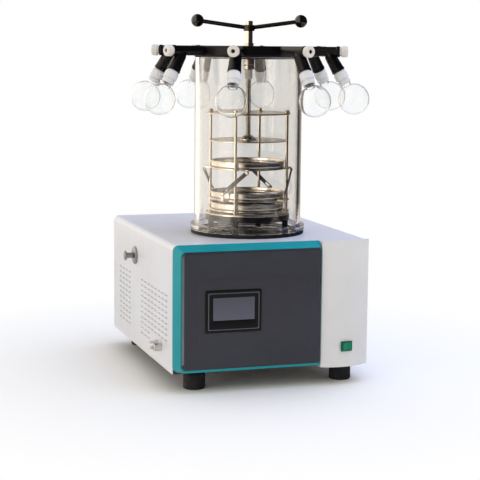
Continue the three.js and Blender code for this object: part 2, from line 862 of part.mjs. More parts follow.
// A flanged port tube that runs through the rear panel, open along its bore.
function vacuumPort() {
  const bore = portRadius - portWall;
  const inside = -14;
  return turned([
    [bore, inside], [portRadius, inside], [portRadius, seat], [portFlangeRadius, seat],
    [portFlangeRadius, 3], [portRadius, 3.5], [portRadius, portReach - 6],
    [portFlangeRadius, portReach - 2], [portFlangeRadius, portReach], [bore, portReach],
    [bore, inside],
  ], roundSmall);
}

// The mains inlet: a flanged box with a well and three pins.
function powerInlet() {
  const inside = (margin) => rect(inletWidth - 2 * margin, inletHeight - 2 * margin);
  const flange = prism(rect(inletWidth, inletHeight, 3), inletFlange, 2).translate(0, 0, seat);
  const body = prism(inside(inletBodyMargin + seat), inletDepth + 2).translate(0, 0, -inletDepth);
  const well = prism(inside(inletWellMargin), 2 * inletWellDepth).translate(0, 0, -inletWellDepth);
  const pin = (x, y) => solid(prism(rect(2.4, 6), inletWellDepth).translate(x, y, -inletWellDepth - 2));
  const pins = [pin(-inletPinPitch, -2), pin(0, 2), pin(inletPinPitch, -2)];
  return join(cut(join(solid(flange), solid(body)), solid(well)), ...pins);
}

function onBack(x, z) {
  const place = groupAt(x, caseBack, z);
  place.rotation.set(-Math.PI / 2, 0, 0);
  return place;
}

add('vacuum_port', vacuumPort(), steel(), onBack(portX, footHeight + portHeight));
add('power_inlet', powerInlet(), blackPlastic(), onBack(inletX, footHeight + inletLift));

// ---- Cold trap and refrigeration ------------------------------------------------------------------

const panFloor = footHeight + sheet + seat;

// The trap hangs through the casing's top on its own flange.
function coldTrap() {
  const low = caseTop - trapDepth;
  const under = caseTop + seat;
  const top = under + trapFlangeThickness;
  const outer = trapRadius + trapWall;
  return turned([
    [0, low - trapWall], [outer, low - trapWall], [outer, under], [trapFlangeRadius, under],
    [trapFlangeRadius, top], [trapRadius, top], [trapRadius, low], [0, low],
  ], roundLarge);
}

// The sealed can on its pressed base plate, with a terminal box on its side.
function compressor() {
  const r = compressorRadius;
  const top = compressorHeight;
  const can = turned([
    [0, compressorPlate - 2], [0.74 * r, compressorPlate - 2], [r, 0.18 * top], [r, 0.52 * top],
    [r - compressorSeam, 0.55 * top], [r - compressorSeam, 0.72 * top], [0.76 * r, 0.93 * top],
    [compressorTopRadius, top], [0, top],
  ], roundSmall);
  const width = 2 * (r + compressorPlateMargin);
  const plate = prism(rect(width, 1.5 * r, 1.5 * compressorPlateMargin), compressorPlate, 2);
  const [deep, wide, tall] = terminalBox;
  const start = 0.8 * r;
  const box = block([start, -wide / 2, terminalBoxLow], [start + deep, wide / 2, terminalBoxLow + tall]);
  return join(solid(can), solid(plate), solid(box));
}

// A block of upright fins, the ring that the fan runs in, and the fan's motor on its bracket.
// It is built about the fan's axis with +Z pointing inward.
function condenser() {
  const core = prism(rect(condenserLength, condenserHeight), condenserDepth);
  const gap = rect(condenserPitch - finThickness, condenserHeight - 2 * condenserEnd);
  const gapCount = Math.floor((condenserLength - finThickness) / condenserPitch);
  const gaps = Array.from({ length: gapCount }, (_, i) => {
    const x = (i - (gapCount - 1) / 2) * condenserPitch;
    return solid(prism(gap, condenserDepth + 2).translate(x, 0, -condenserDepth - 1));
  });
  const barrel = ring(fanRadius + 2, fanRadius + 6, 1, fanRingDepth, roundMedium);
  const header = condenserHeight / 2 - condenserEnd;
  const [low, high] = [-1, 1].map((side) =>
    block([-30, Math.min(side * (header - 12), side * (header + 8)), -1],
      [30, Math.max(side * (header - 12), side * (header + 8)), 8]));
  const bracket = block([-fanRadius - 4, -8, fanRingDepth - 3], [fanRadius + 4, 8, fanRingDepth + 2]);
  const motor = disc(motorRadius, fanRingDepth - 2, fanRingDepth + motorLength, roundSmall);
  const shaft = disc(motorShaftRadius, fanRingDepth - 12, fanRingDepth, 8);
  const fins = cut(solid(core.translate(0, 0, -condenserDepth)), ...gaps);
  const straps = cut(join(solid(low), solid(high)), solid(disc(fanRadius + 2, 0, 9, roundMedium)));
  return join(fins, straps, solid(barrel), solid(bracket), solid(motor), solid(shaft));
}

// The fan: a hub bored for the motor's shaft, and pitched blades.
function fanRotor() {
  const hub = solid(turned(
    [[0, 0], [fanHubRadius, 0], [fanHubRadius, fanHubLength], [0, fanHubLength]], roundTiny));
  const tip = fanRadius - 2;
  const blades = [];
  for (let i = 0; i < fanBlades; i += 1) {
    const shape = new THREE.Shape();
    shape.moveTo(fanHubRadius - 6, -8);
    shape.lineTo(tip * 0.6, -24);
    shape.quadraticCurveTo(tip, -26, tip, 0);
    shape.quadraticCurveTo(tip - 6, 16, tip * 0.6, 14);
    shape.lineTo(fanHubRadius - 6, 8);
    const blade = prism(shape, bladeThickness, 2).translate(0, 0, -bladeThickness / 2);
    blade.rotateX(bladePitch * degrees).rotateZ((i / fanBlades) * 2 * Math.PI);
    blades.push(solid(blade.translate(0, 0, fanHubLength / 2)));
  }
  const bore = disc(motorShaftRadius + 2 * seat, fanHubLength - 9, fanHubLength + 1, 8);
  return cut(join(hub, ...blades), solid(bore));
}

add('cold_trap', coldTrap(), steel());
add('compressor', compressor(), blackEnamel()).position.set(compressorX, compressorY, panFloor);

const condenserPlace = groupAt(
  condenserX + condenserDepth, condenserY, panFloor + condenserHeight / 2);
condenserPlace.rotation.set(0, Math.PI / 2, Math.PI / 2, 'YZX');
add('condenser', condenser(), aluminium(), condenserPlace);
add('fan_rotor', fanRotor(), blackPlastic(), condenserPlace).position.z =
  fanRingDepth - 3 - seat - fanHubLength;

// ---- Chamber ------------------------------------------------------------------------------------

const cylinderBore = cylinderRadius - cylinderWall;
const gasketInner = cylinderBore - 4;

function chamberCylinder() {
  const flangeTop = chamberFloor + chamberFlangeHeight;
  return turned([
    [cylinderBore, chamberFloor], [chamberFlangeRadius, chamberFloor],
    [chamberFlangeRadius, flangeTop - 2], [chamberFlangeRadius - 2, flangeTop],
    [cylinderRadius, flangeTop], [cylinderRadius, chamberTop], [cylinderBore, chamberTop],
    [cylinderBore, chamberFloor],
  ], roundLarge);
}

add('chamber_gasket', ring(gasketInner, gasketInner + gasketWidth, caseTop + seat,
  caseTop + seat + gasketThickness), blackRubber());
add('chamber_cylinder', chamberCylinder(), acrylic());
add('lid_gasket', ring(cylinderBore - 2, cylinderRadius + 2, chamberTop + seat,
  chamberTop + seat + lidGasketThickness), blackRubber());

// ---- Lid with its radial arms ---------------------------------------------------------------------

const portAngles = Array.from({ length: ports }, (_, i) => (portPhase + (i / ports) * 360) * degrees);

function lidManifold() {
  const edge = 2;
  const rim = cylinderRadius + lidOverhang;
  const spigot = gasketInner;
  const plate = turned([
    [0, lidUnder - lidSpigot], [spigot, lidUnder - lidSpigot], [spigot, lidUnder], [rim, lidUnder],
    [rim, lidTop - edge], [rim - edge, lidTop], [0, lidTop],
  ], roundLarge);
  const bore = disc(glandStem + seat, lidUnder - 2 * lidSpigot, lidTop + 1, roundSmall);
  const mouth = -neckLength - nippleLength;
  const arms = portAngles.flatMap((angle) => {
    const arm = facingRight(disc(armRadius, cylinderRadius - 5, armReach, roundTiny));
    const stem = facingRight(disc(knobStemRadius, armReach - 1, armReach + knobStemLength, 8));
    const neck = turned([
      [0, mouth], [nippleRadius, mouth], [nippleRadius, -neckLength],
      [neckRadius + neckFlare, -neckLength], [neckRadius, 0], [0, armRadius],
    ], roundTiny);
    neck.rotateY(-neckTilt * degrees).translate(neckReach, 0, lidUnder);
    return [arm.translate(0, 0, armHeight), stem.translate(0, 0, armHeight), neck]
      .map((geometry) => solid(geometry.rotateZ(angle)));
  });
  return cut(join(solid(plate), ...arms), solid(bore));
}

// The threaded boss that guides the press spindle through the lid.
function glandBoss() {
  const low = lidUnder - glandDrop;
  const shoulder = lidUnder - lidSpigot - seat;
  const threadBore = spindleRadius + runningGap;
  const shaftBore = shaftRadius + runningGap;
  return turned([
    [threadBore, low], [glandRadius, low], [glandRadius, shoulder], [glandStem, shoulder],
    [glandStem, lidTop + glandRise], [shaftBore, lidTop + glandRise],
    [shaftBore, low + threadLength], [threadBore, low + threadLength], [threadBore, low],
  ], roundSmall);
}

add('lid_manifold', lidManifold(), blackEnamel());
add('gland_boss', glandBoss(), steel());

// A valve knob along +Z with a socket for the stem and a small well in its face.
function valveKnob() {
  const socket = knobStemLength + seat;
  const socketRadius = knobStemRadius + 0.4;
  const shoulder = knobSkirtLength + 1;
  const wellFloor = knobLength - knobWellDepth;
  return turned([
    [0, socket], [socketRadius, socket], [socketRadius, 0], [knobSkirt, 0],
    [knobSkirt, knobSkirtLength], [knobRadius, shoulder], [knobRadius, knobLength - knobChamfer],
    [knobRadius - knobChamfer, knobLength], [knobWell, knobLength], [knobWell, wellFloor],
    [0, wellFloor],
  ], roundTiny);
}

// A flask below its neck: white collar, short glass neck and a hollow round bulb, open at the top.
function flask() {
  const mouth = -neckLength - seat;
  const collarEnd = mouth - collarLength;
  const centre = mouth - collarLength - bulbDrop;
  const bore = nippleRadius + 2 * seat;
  const arc = (radius, from, to, steps) => Array.from({ length: steps + 1 }, (_, i) => {
    const angle = from + (i / steps) * (to - from);
    return [radius * Math.sin(angle), centre - radius * Math.cos(angle)];
  });
  const inner = bulbRadius - glassWall;
  return turned([
    ...arc(bulbRadius, 0, Math.PI - Math.asin(flaskNeckRadius / bulbRadius), 5),
    [flaskNeckRadius, collarEnd], [collarRadius, collarEnd], [collarRadius, mouth], [bore, mouth],
    ...arc(inner, Math.PI - Math.asin(bore / inner), 0, 3),
  ].map(([r, z]) => [Math.abs(r) < 1e-6 ? 0 : r, z]), roundFlask);
}

portAngles.forEach((angle, i) => {
  const place = groupAt(0, 0, 0, angle / degrees);
  const knob = add(`valve_knob_${i + 1}`, facingRight(valveKnob()), whitePlastic(), place);
  knob.position.set(armReach + seat, 0, armHeight);
  const glass = add(`flask_${i + 1}`, flask(), flaskGlass(), place);
  glass.position.set(neckReach, 0, lidUnder);
  glass.rotation.y = -neckTilt * degrees;
});

// ---- Press ----------------------------------------------------------------------------------------

const pressFloor = caseTop + pressHeight;
const spindleLow = pressFloor + 8;
const threadTop = lidTop;
const shaftTop = lidTop + spindleTop;

function pressSpindle() {
  return turned([
    [0, spindleLow], [spindleRadius, spindleLow], [spindleRadius, threadTop], [shaftRadius, threadTop],
    [shaftRadius, shaftTop - 1.5], [shaftRadius - 1.5, shaftTop], [0, shaftTop],
  ], roundSmall);
}

// Hub, two rising arms and their balls, about the hub's centre.
function pressHandle() {
  const hub = solid(disc(hubRadius, -hubLength / 2, hubLength / 2, roundSmall));
  const bore = solid(disc(shaftRadius + runningGap, -hubLength, hubLength, roundSmall));
  const reach = Math.hypot(ballReach, ballRise);
  const rise = Math.atan2(ballRise, ballReach);
  const arms = [0, Math.PI].flatMap((turn) => {
    const rod = disc(armRodRadius, hubRadius - 3, reach, 8);
    const ball = new THREE.SphereGeometry(ballRadius, roundTiny, 6).translate(0, 0, reach);
    return [rod, ball].map((geometry) =>
      solid(geometry.rotateY(Math.PI / 2 - rise).rotateZ(turn)));
  });
  return join(cut(hub, bore), ...arms);
}

// The plate with its boss and four notches that keep it from turning between the rods.
function pressPlate() {
  const top = pressFloor + pressThickness;
  const socket = spindleLow - seat;
  const bore = spindleRadius + runningGap;
  const plate = disc(pressRadius, pressFloor, top, roundLarge);
  const boss = turned([
    [0, pressFloor + 1], [pressFootRadius, pressFloor + 1], [pressFootRadius, top + 2],
    [pressFootTop, top + pressFoot], [0, top + pressFoot],
  ], roundSmall);
  const well = disc(bore, socket, top + pressFoot + 1, roundSmall);
  const notches = rodAngles.map((angle) => solid(
    disc(rodRadius + 2 * runningGap, pressFloor - 1, top + 1, roundTiny)
      .translate(rodCircle, 0, 0)
      .rotateZ(angle)));
  return cut(join(solid(plate), solid(boss)), solid(well), ...notches);
}

const rodAngles = Array.from({ length: rods }, (_, i) => (rackPhase + (i / rods) * 360) * degrees);

const handlePlace = groupAt(0, 0, shaftTop - hubDrop, handleTurn);
add('press_spindle', pressSpindle(), steel());
add('press_handle', pressHandle(), blackPlastic(), handlePlace);
add('press_plate', pressPlate(), steel());

// ---- Rack -----------------------------------------------------------------------------------------

const rackFloor = caseTop + baseLift + baseThickness + seat;
const rodTop = caseTop + topPlateHeight + topPlateThickness + nutHeight + 2;

// The black ring under the rack, on four feet that stand on the trap's flange.
function rackBase() {
  const low = caseTop + baseLift;
  const floor = caseTop + seat + trapFlangeThickness + seat;
  const band = solid(ring(baseInner, baseOuter, low, low + baseThickness));
  const feet = rodAngles.map((angle) => solid(
    disc(baseFootRadius, floor, low + 1, roundTiny)
      .translate(baseOuter - baseFootRadius - 1, 0, 0)
      .rotateZ(angle)));
  return join(band, ...feet);
}

// Base plate, four rods and top plate, screwed together as one frame.
function rackFrame() {
  const topLow = caseTop + topPlateHeight;
  const topHigh = topLow + topPlateThickness;
  const outer = rodCircle + rackPlateMargin;
  const low = solid(ring(rackPlateInner, outer, rackFloor, rackFloor + rackPlateThickness));
  const high = solid(ring(topPlateBore, topPlateRadius, topLow, topHigh, roundMedium));
  const rodsAndNuts = rodAngles.flatMap((angle) => [
    disc(rodRadius, rackFloor + 1, rodTop, 8),
    disc(nutRadius, topHigh - 0.5, topHigh + nutHeight, 6),
  ].map((geometry) => solid(geometry.translate(rodCircle, 0, 0).rotateZ(angle))));
  return join(low, high, ...rodsAndNuts);
}

const pinTop = shelfHeights[0] - pinDrop;
const pinLow = pinTop - linkDrop;
const halfRun = linkRun / 2;

// One link's lug on a shelf: an arm out past the rods, a tab, and a pin with a head.
function linkLug(shelfHeight, pinHeight, y) {
  const outer = linkPlane - seat;
  const pin = pinHeight - shelfHeight;
  const headFace = linkPlane + linkThickness + seat;
  const arm = block([lugRoot, y - lugWidth / 2, 0], [outer, y + lugWidth / 2, shelfHem]);
  const [low, high] = pin < 0 ? [pin - pinHead, 1] : [1, pin + pinHead];
  const tab = block([outer - lugThickness, y - lugWidth / 2, low], [outer, y + lugWidth / 2, high]);
  const shank = facingRight(disc(pinRadius, outer - 1, headFace + pinHeadThickness, 8));
  const head = facingRight(disc(pinHead, headFace, headFace + pinHeadThickness, 8));
  return [arm, tab, shank.translate(0, y, pin), head.translate(0, y, pin)];
}

// A shallow hemmed plate with an ear round each rod, and any lugs for the links.
function shelf(lugs) {
  const plate = solid(turned([
    [0, shelfHem - shelfThickness], [shelfRadius - 1.5, shelfHem - shelfThickness],
    [shelfRadius - 1.5, 0], [shelfRadius, 0], [shelfRadius, shelfHem], [0, shelfHem],
  ], roundMedium));
  const extras = rodAngles.flatMap((angle) => {
    const ear = block([shelfRadius - 4, -earWidth / 2, 0], [earReach, earWidth / 2, shelfHem]);
    return [ear, ...lugs()].map((geometry) => solid(geometry.rotateZ(angle)));
  });
  const bores = rodAngles.map((angle) => solid(
    disc(rodRadius + runningGap, -1, shelfHem + 1, 8).translate(rodCircle, 0, 0).rotateZ(angle)));
  return cut(join(plate, ...extras), ...bores);
}

function tray() {
  const lip = 1.5;
  return turned([
    [0, 0], [trayRadius - lip, 0], [trayRadius - lip, trayHeight - lip], [trayRadius, trayHeight],
    [trayRadius - lip - trayWall, trayHeight], [trayRadius - lip - trayWall, trayWall],
    [0, trayWall],
  ], roundMedium);
}

// A hanger: a round-ended strip with an eye for the upper pin and a slot for the lower one.
function shelfLink() {
  const reach = Math.hypot(linkRun, linkDrop);
  const folded = Math.hypot(linkRun, linkDrop - linkTravel);
  const half = linkWidth / 2;
  const strip = new THREE.Shape();
  strip.absarc(0, 0, half, Math.PI, 2 * Math.PI);
  strip.absarc(0, reach, half, 0, Math.PI);
  const slot = new THREE.Path();
  slot.absarc(0, folded, linkSlotWidth / 2, Math.PI, 2 * Math.PI);
  slot.absarc(0, reach, linkSlotWidth / 2, 0, Math.PI);
  strip.holes.push(slot, circle2(0, 0, pinRadius + seat));
  return prism(strip, linkThickness, 4).rotateY(Math.PI / 2);
}

const shelfLugs = [
  () => linkLug(shelfHeights[0], pinTop, halfRun),
  () => linkLug(shelfHeights[1], pinLow, -halfRun),
  () => [],
];

add('rack_base', rackBase(), blackPlastic());
add('rack_frame', rackFrame(), steel());
shelfHeights.forEach((height, i) => {
  add(`shelf_${i + 1}`, shelf(shelfLugs[i]), steel()).position.z = caseTop + height;
  add(`tray_${i + 1}`, tray(), steel()).position.z = caseTop + height + shelfHem + seat;
});
rodAngles.forEach((angle, i) => {
  const place = groupAt(0, 0, caseTop + pinTop, angle / degrees);
  const link = add(`shelf_link_${i + 1}`, shelfLink(), steel(), place);
  link.position.set(linkPlane, halfRun, 0);
  link.rotation.x = Math.PI + Math.atan2(linkDrop, linkRun);
});

// ---- Over its own footprint -----------------------------------------------------------------------

const bounds = new THREE.Box3().setFromObject(dryer, true);
const middle = bounds.getCenter(new THREE.Vector3());
dryer.position.set(-middle.x, -middle.y, -bounds.min.z);
dryer.updateMatrixWorld(true);

export default dryer;
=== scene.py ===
# %% [markdown]
# A bench-top freeze dryer: a white refrigerated cabinet, a clear drying chamber with a rack of
# steel shelves inside, and a black press lid whose eight arms carry glass flasks.
# The solids come from a CAD model that is loaded first and never moved. Blender's job is the
# surface: smooth turned forms in place of faceted ones, small fittings, and what each finish
# gives the eye. Lengths are in millimetres and start from the loaded solids, so every piece
# lands on its own solid without fitting by eye. Only Blender's own side of things, which is the
# meshes, lamps and floor, is in metres.

# %% Load the frame
import math

import bmesh
import bpy
import mathutils
import numpy as np
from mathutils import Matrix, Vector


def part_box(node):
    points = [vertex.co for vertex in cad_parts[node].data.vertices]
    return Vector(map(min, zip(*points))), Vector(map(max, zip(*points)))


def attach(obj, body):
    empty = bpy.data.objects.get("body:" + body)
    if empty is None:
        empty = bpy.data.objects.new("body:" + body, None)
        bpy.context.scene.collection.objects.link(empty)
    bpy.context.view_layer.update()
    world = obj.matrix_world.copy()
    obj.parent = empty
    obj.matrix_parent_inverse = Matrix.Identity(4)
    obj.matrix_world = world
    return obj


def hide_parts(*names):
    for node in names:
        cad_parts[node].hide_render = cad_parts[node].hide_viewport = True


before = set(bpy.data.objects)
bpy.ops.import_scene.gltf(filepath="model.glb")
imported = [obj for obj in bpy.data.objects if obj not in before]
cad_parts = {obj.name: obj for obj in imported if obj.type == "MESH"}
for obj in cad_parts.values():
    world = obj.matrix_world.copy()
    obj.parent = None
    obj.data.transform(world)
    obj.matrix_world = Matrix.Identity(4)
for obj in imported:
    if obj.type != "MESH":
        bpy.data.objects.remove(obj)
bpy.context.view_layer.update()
MM = 0.001                    # one millimetre in Blender's metres


def low(node):
    """Lowest corner of a solid's box."""
    return np.array(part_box(node)[0]) / MM


def high(node):
    """Highest corner of a solid's box."""
    return np.array(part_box(node)[1]) / MM


def middle(node):
    """Centre of a solid's box."""
    return (low(node) + high(node)) / 2


CASE_LOW, CASE_HIGH = low("cabinet_cover"), high("cabinet_cover")
CASE_TOP = CASE_HIGH[2]
AXIS_X, AXIS_Y = middle("chamber_cylinder")[:2]
print("cabinet", np.round(CASE_HIGH - CASE_LOW), "chamber axis", round(AXIS_X, 1), round(AXIS_Y, 1))

# %% [markdown]
# The camera comes first, because it decides how much detail each piece needs. It stands to the
# left and slightly above, far away with a long lens, so that upright edges stay nearly parallel.
# Its direction is written as a turn to the right and a tilt downward, as on a tripod's scales.

# %% Camera
CAMERA_BACK = 3667.6          # in front of the chamber's axis
CAMERA_LEFT = 1218.1          # to the left of it
CAMERA_RISE = 511.4           # above the cabinet's top
CAMERA_TURN = 18.09           # degrees to the right of straight ahead
CAMERA_TILT = 7.88            # degrees down
CAMERA_ROLL = 0.54
LENS_MM = 106.5

camera_data = bpy.data.cameras.new("camera")
camera_data.lens = LENS_MM
camera_data.sensor_width = 36
camera_data.clip_end = 100
camera = bpy.data.objects.new("camera", camera_data)
bpy.context.scene.collection.objects.link(camera)
camera.location = MM * np.array([AXIS_X - CAMERA_LEFT, AXIS_Y - CAMERA_BACK, CASE_TOP + CAMERA_RISE])
turns = [("Z", -CAMERA_TURN), ("X", 90 - CAMERA_TILT), ("Z", CAMERA_ROLL)]
heading = mathutils.Matrix.Identity(3)
for axis, degrees in turns:
    heading = heading @ mathutils.Matrix.Rotation(math.radians(degrees), 3, axis)
camera.rotation_euler = heading.to_euler()
bpy.context.scene.camera = camera
bpy.context.scene.view_settings.view_transform = "Standard"
print("camera at", [round(value, 3) for value in camera.location])

# %% [markdown]
# Two forms carry most of the modelling. A turned part is a profile of (radius, height) points
# swept round an axis. A moulded part is a stack of rounded rectangles. Both are grids of
# points, so one function can close any grid into a solid: its rows become rings, its last
# column joins the first, and its first and last rows either meet in a pole or get a flat cap.

# %% Mesh helpers
FINE = 128                    # facets round the chamber's large rings
ROUND = 48                    # facets round pieces the size of a hand
SLIM = 24                     # facets round rods and screws


def ring_faces(rows, columns):
    """Quads between neighbouring rows of a grid whose last column joins its first."""
    row, column = np.meshgrid(np.arange(rows - 1), np.arange(columns), indexing="ij")
    beside = (column + 1) % columns
    quads = np.stack([row * columns + column, row * columns + beside,
                      (row + 1) * columns + beside, (row + 1) * columns + column], axis=-1)
    return quads.reshape(-1, 4)


def closed(grid):
    """Points and faces of a grid closed into a solid. A row of equal points becomes a pole, any
    other end row gets a cap, and a grid whose first and last rows agree becomes a ring."""
    rows, columns = grid.shape[:2]
    points = grid.reshape(-1, 3)
    faces = ring_faces(rows, columns)
    if np.allclose(grid[0], grid[-1]):
        faces = np.where(faces >= (rows - 1) * columns, faces - (rows - 1) * columns, faces)
        return points[:(rows - 1) * columns], faces.tolist()
    index = np.arange(len(points))
    for row in (0, rows - 1):
        if np.allclose(grid[row], grid[row, 0]):
            index[row * columns:(row + 1) * columns] = row * columns
    faces = index[faces]
    lists = [list(dict.fromkeys(face)) for face in faces.tolist()]
    for row, step in ((0, -1), (rows - 1, 1)):
        if not np.allclose(grid[row], grid[row, 0]):
            lists.append((row * columns + np.arange(columns))[::step].tolist())
    used = np.unique(index)
    renumber = np.zeros(len(points), int)
    renumber[used] = np.arange(len(used))
    return points[used], [[int(renumber[i]) for i in face] for face in lists]


def around_z(facets):
    """Angles evenly spaced round a full turn."""
    return np.linspace(0, 2 * np.pi, facets, endpoint=False)


def swept(angle, levels):
    """Rings stacked round Z: x = r cos t, y = r sin t, z = h. A level is a pair of r and h, and its
    r is one radius or one for every angle. A level with no radius is a pole."""
    return closed(np.array([np.stack([reach * np.cos(angle), reach * np.sin(angle), height + 0 * angle],
                                     axis=-1) for reach, height in levels]))


# %% [markdown]
# Real edges are never quite sharp, so a profile's corners are rounded before it is swept. From
# there each kind of stock has a helper: a turned part, a pin, a bush and a moulded block.

# %% Outlines and stock shapes
def soften(points, radius, steps=4):
    """A closed or open outline whose inner corners are rounded by arcs of the given radius. Each
    arc touches its two sides at the same distance from the corner, or near their middle if short.
    One more point on each side, just beyond the arc, keeps the flats shaded flat."""
    points = np.array(points, float)
    loop = np.allclose(points[0], points[-1])
    result = [] if loop else [points[0]]
    last = len(points) - 1
    for i in range(0 if loop else 1, last):
        before = points[i - 1] if i else points[last - 1]
        corner, after = points[i], points[i + 1]
        to_before, to_after = before - corner, after - corner
        length_before, length_after = np.linalg.norm(to_before), np.linalg.norm(to_after)
        to_before, to_after = to_before / length_before, to_after / length_after
        half = np.arccos(np.clip(to_before @ to_after, -1, 1)) / 2
        if half > 1.5:
            result.append(corner)
            continue
        reach = min(radius / np.tan(half), 0.42 * length_before, 0.42 * length_after)
        fitted = reach * np.tan(half)
        inward = (to_before + to_after) / np.linalg.norm(to_before + to_after)
        centre = corner + inward * fitted / np.sin(half)
        start = np.arctan2(*(corner + to_before * reach - centre)[::-1])
        end = np.arctan2(*(corner + to_after * reach - centre)[::-1])
        sweep = (end - start + np.pi) % (2 * np.pi) - np.pi
        angle = start + sweep * np.linspace(0, 1, steps)
        result.append(corner + to_before * min(reach + 0.5 * radius, 0.48 * length_before))
        result.extend(centre + fitted * np.stack([np.cos(angle), np.sin(angle)], axis=-1))
        result.append(corner + to_after * min(reach + 0.5 * radius, 0.48 * length_after))
    result.append(result[0] if loop else points[-1])
    return np.array(result)


def turned(profile, corner=0, facets=ROUND, steps=4):
    """A turned solid from a profile of (radius, height) points, its corners rounded if asked."""
    return swept(around_z(facets), soften(profile, corner, steps) if corner else profile)


def pin(radius, bottom, top, corner, facets=SLIM):
    """A solid round bar along Z with rounded ends."""
    return turned([(0, bottom), (radius, bottom), (radius, top), (0, top)], corner, facets)


def bush(inner, outer, bottom, top, corner, facets=SLIM):
    """A plain turned ring about Z with rounded corners."""
    return turned([(inner, bottom), (outer, bottom), (outer, top), (inner, top), (inner, bottom)],
                  corner, facets)


def rectangle(width, height, radius, steps=6, right_radius=None):
    """Points of a rounded rectangle about the origin: a quarter circle at each corner. The two
    corners on the right may have a radius of their own."""
    quarter = np.linspace(0, np.pi / 2, steps)
    corners = [(1, 1), (-1, 1), (-1, -1), (1, -1)]
    arcs = []
    for turn, (side, rise) in enumerate(corners):
        reach = radius if right_radius is None or side < 0 else right_radius
        angle = quarter + turn * np.pi / 2
        centre = np.array([side * (width / 2 - reach), rise * (height / 2 - reach)])
        arcs.append(centre + reach * np.stack([np.cos(angle), np.sin(angle)], axis=-1))
    return np.concatenate(arcs)


def moulded(width, height, radius, profile):
    """Rounded rectangles stacked along Z. Each (inset, height) of the profile gives one ring,
    drawn in from the full outline by the inset."""
    rings = []
    for inset, level in profile:
        outline = rectangle(width - 2 * inset, height - 2 * inset, max(radius - inset, 0.2))
        rings.append(np.column_stack([outline, np.full(len(outline), level)]))
    return closed(np.array(rings))


# %% [markdown]
# A shape is drawn where its numbers are simplest, about its own axis, and is then carried to its
# place by 4x4 matrices. Only its points move, so its faces are carried along unchanged. The last
# helper turns a placed shape into a finished object.

# %% Placing helpers
def moved(x=0.0, y=0.0, z=0.0):
    """A 4x4 matrix that shifts points."""
    matrix = np.eye(4)
    matrix[:3, 3] = x, y, z
    return matrix


def rotated(axis, degrees):
    """A 4x4 matrix that turns points about X, Y or Z by the right-hand rule."""
    first, second = {"X": (1, 2), "Y": (2, 0), "Z": (0, 1)}[axis]
    cosine, sine = math.cos(math.radians(degrees)), math.sin(math.radians(degrees))
    matrix = np.eye(4)
    matrix[first, first] = matrix[second, second] = cosine
    matrix[second, first], matrix[first, second] = sine, -sine
    return matrix


def place(shape, *matrices):
    """A shape's points carried through the matrices, the last one first."""
    points, faces = shape
    whole = np.eye(4)
    for matrix in matrices:
        whole = whole @ matrix
    return points @ whole[:3, :3].T + whole[:3, 3], faces


def together(*shapes):
    """Several closed shapes as one list of points and one list of faces."""
    points, faces, start = [], [], 0
    for shape_points, shape_faces in shapes:
        points.append(shape_points)
        faces.extend([[i + start for i in face] for face in shape_faces])
        start += len(shape_points)
    return np.concatenate(points), faces


def piece(name, shape, material, body, replaces=(), sharp=35, clear=False):
    """Makes a finished object: mesh from the shape, outward faces, smooth shading up to the
    sharp angle, its material and the body that it rides on, and hides the solids that it replaces.
    A clear piece lets the lamps' light through, so it throws no shadow."""
    mesh = bpy.data.meshes.new(name)
    mesh.from_pydata((shape[0] * MM).tolist(), [], shape[1])
    surface = bmesh.new()
    surface.from_mesh(mesh)
    bmesh.ops.recalc_face_normals(surface, faces=surface.faces)
    surface.to_mesh(mesh)
    surface.free()
    mesh.shade_smooth()
    mesh.set_sharp_from_angle(angle=math.radians(sharp))
    mesh.materials.append(material)
    thing = bpy.data.objects.new(name, mesh)
    thing.visible_shadow = not clear
    bpy.context.scene.collection.objects.link(thing)
    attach(thing, body)
    if replaces:
        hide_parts(*replaces)
    print(f"{name}: {len(mesh.polygons)} faces on {body}")
    return thing


ON_AXIS = moved(AXIS_X, AXIS_Y)

# %% [markdown]
# Finishes. Each material is named for what the real one is and how its surface was made. A small
# function adds a node with its settings and its links, and another turns a hex colour, as a
# paint chart gives it, into the linear values that the shader needs. Patterns are sized in real
# millimetres: a Noise scale of n means about n features to a metre.

# %% Material helpers
def linear(hex_colour):
    """A hex sRGB colour as linear red, green, blue and alpha 1."""
    values = [int(hex_colour[i:i + 2], 16) / 255 for i in (1, 3, 5)]
    return [v / 12.92 if v <= 0.04045 else ((v + 0.055) / 1.055) ** 2.4 for v in values] + [1]


def add(tree, kind, inputs=None, **settings):
    """Adds a shader node. Inputs are values or other nodes' output sockets."""
    made = tree.nodes.new("ShaderNode" + kind)
    for name, value in settings.items():
        setattr(made, name, value)
    for key, value in (inputs or {}).items():
        if isinstance(value, bpy.types.NodeSocket):
            tree.links.new(value, made.inputs[key])
        else:
            made.inputs[key].default_value = value
    return made


def finish(name, colour, roughness, metallic=0.0, **sockets):
    """A Principled material. Other sockets are given with _ for a space."""
    material = bpy.data.materials.new(name)
    material.use_nodes = True
    tree = material.node_tree
    shader = tree.nodes["Principled BSDF"]
    shader.inputs["Base Color"].default_value = linear(colour)
    shader.inputs["Roughness"].default_value = roughness
    shader.inputs["Metallic"].default_value = metallic
    for key, value in sockets.items():
        shader.inputs[key.replace("_", " ")].default_value = value
    return material, tree, shader


def on_object(tree, stretch=(1, 1, 1)):
    """Object coordinates in metres, stretched along an axis where the pattern is drawn out."""
    coordinate = add(tree, "TexCoord")
    return add(tree, "Mapping", {"Vector": coordinate.outputs["Object"], "Scale": stretch}).outputs[0]


MIX_FIRST, MIX_SECOND, MIX_COLOUR = 6, 7, 2       # the Mix node's colour sockets


def blend(tree, shader, factor, colour, other):
    """Base colour that goes from one shade to another with a factor socket."""
    mix = add(tree, "Mix", {0: factor, MIX_FIRST: linear(colour), MIX_SECOND: linear(other)},
              data_type="RGBA")
    tree.links.new(mix.outputs[MIX_COLOUR], shader.inputs["Base Color"])


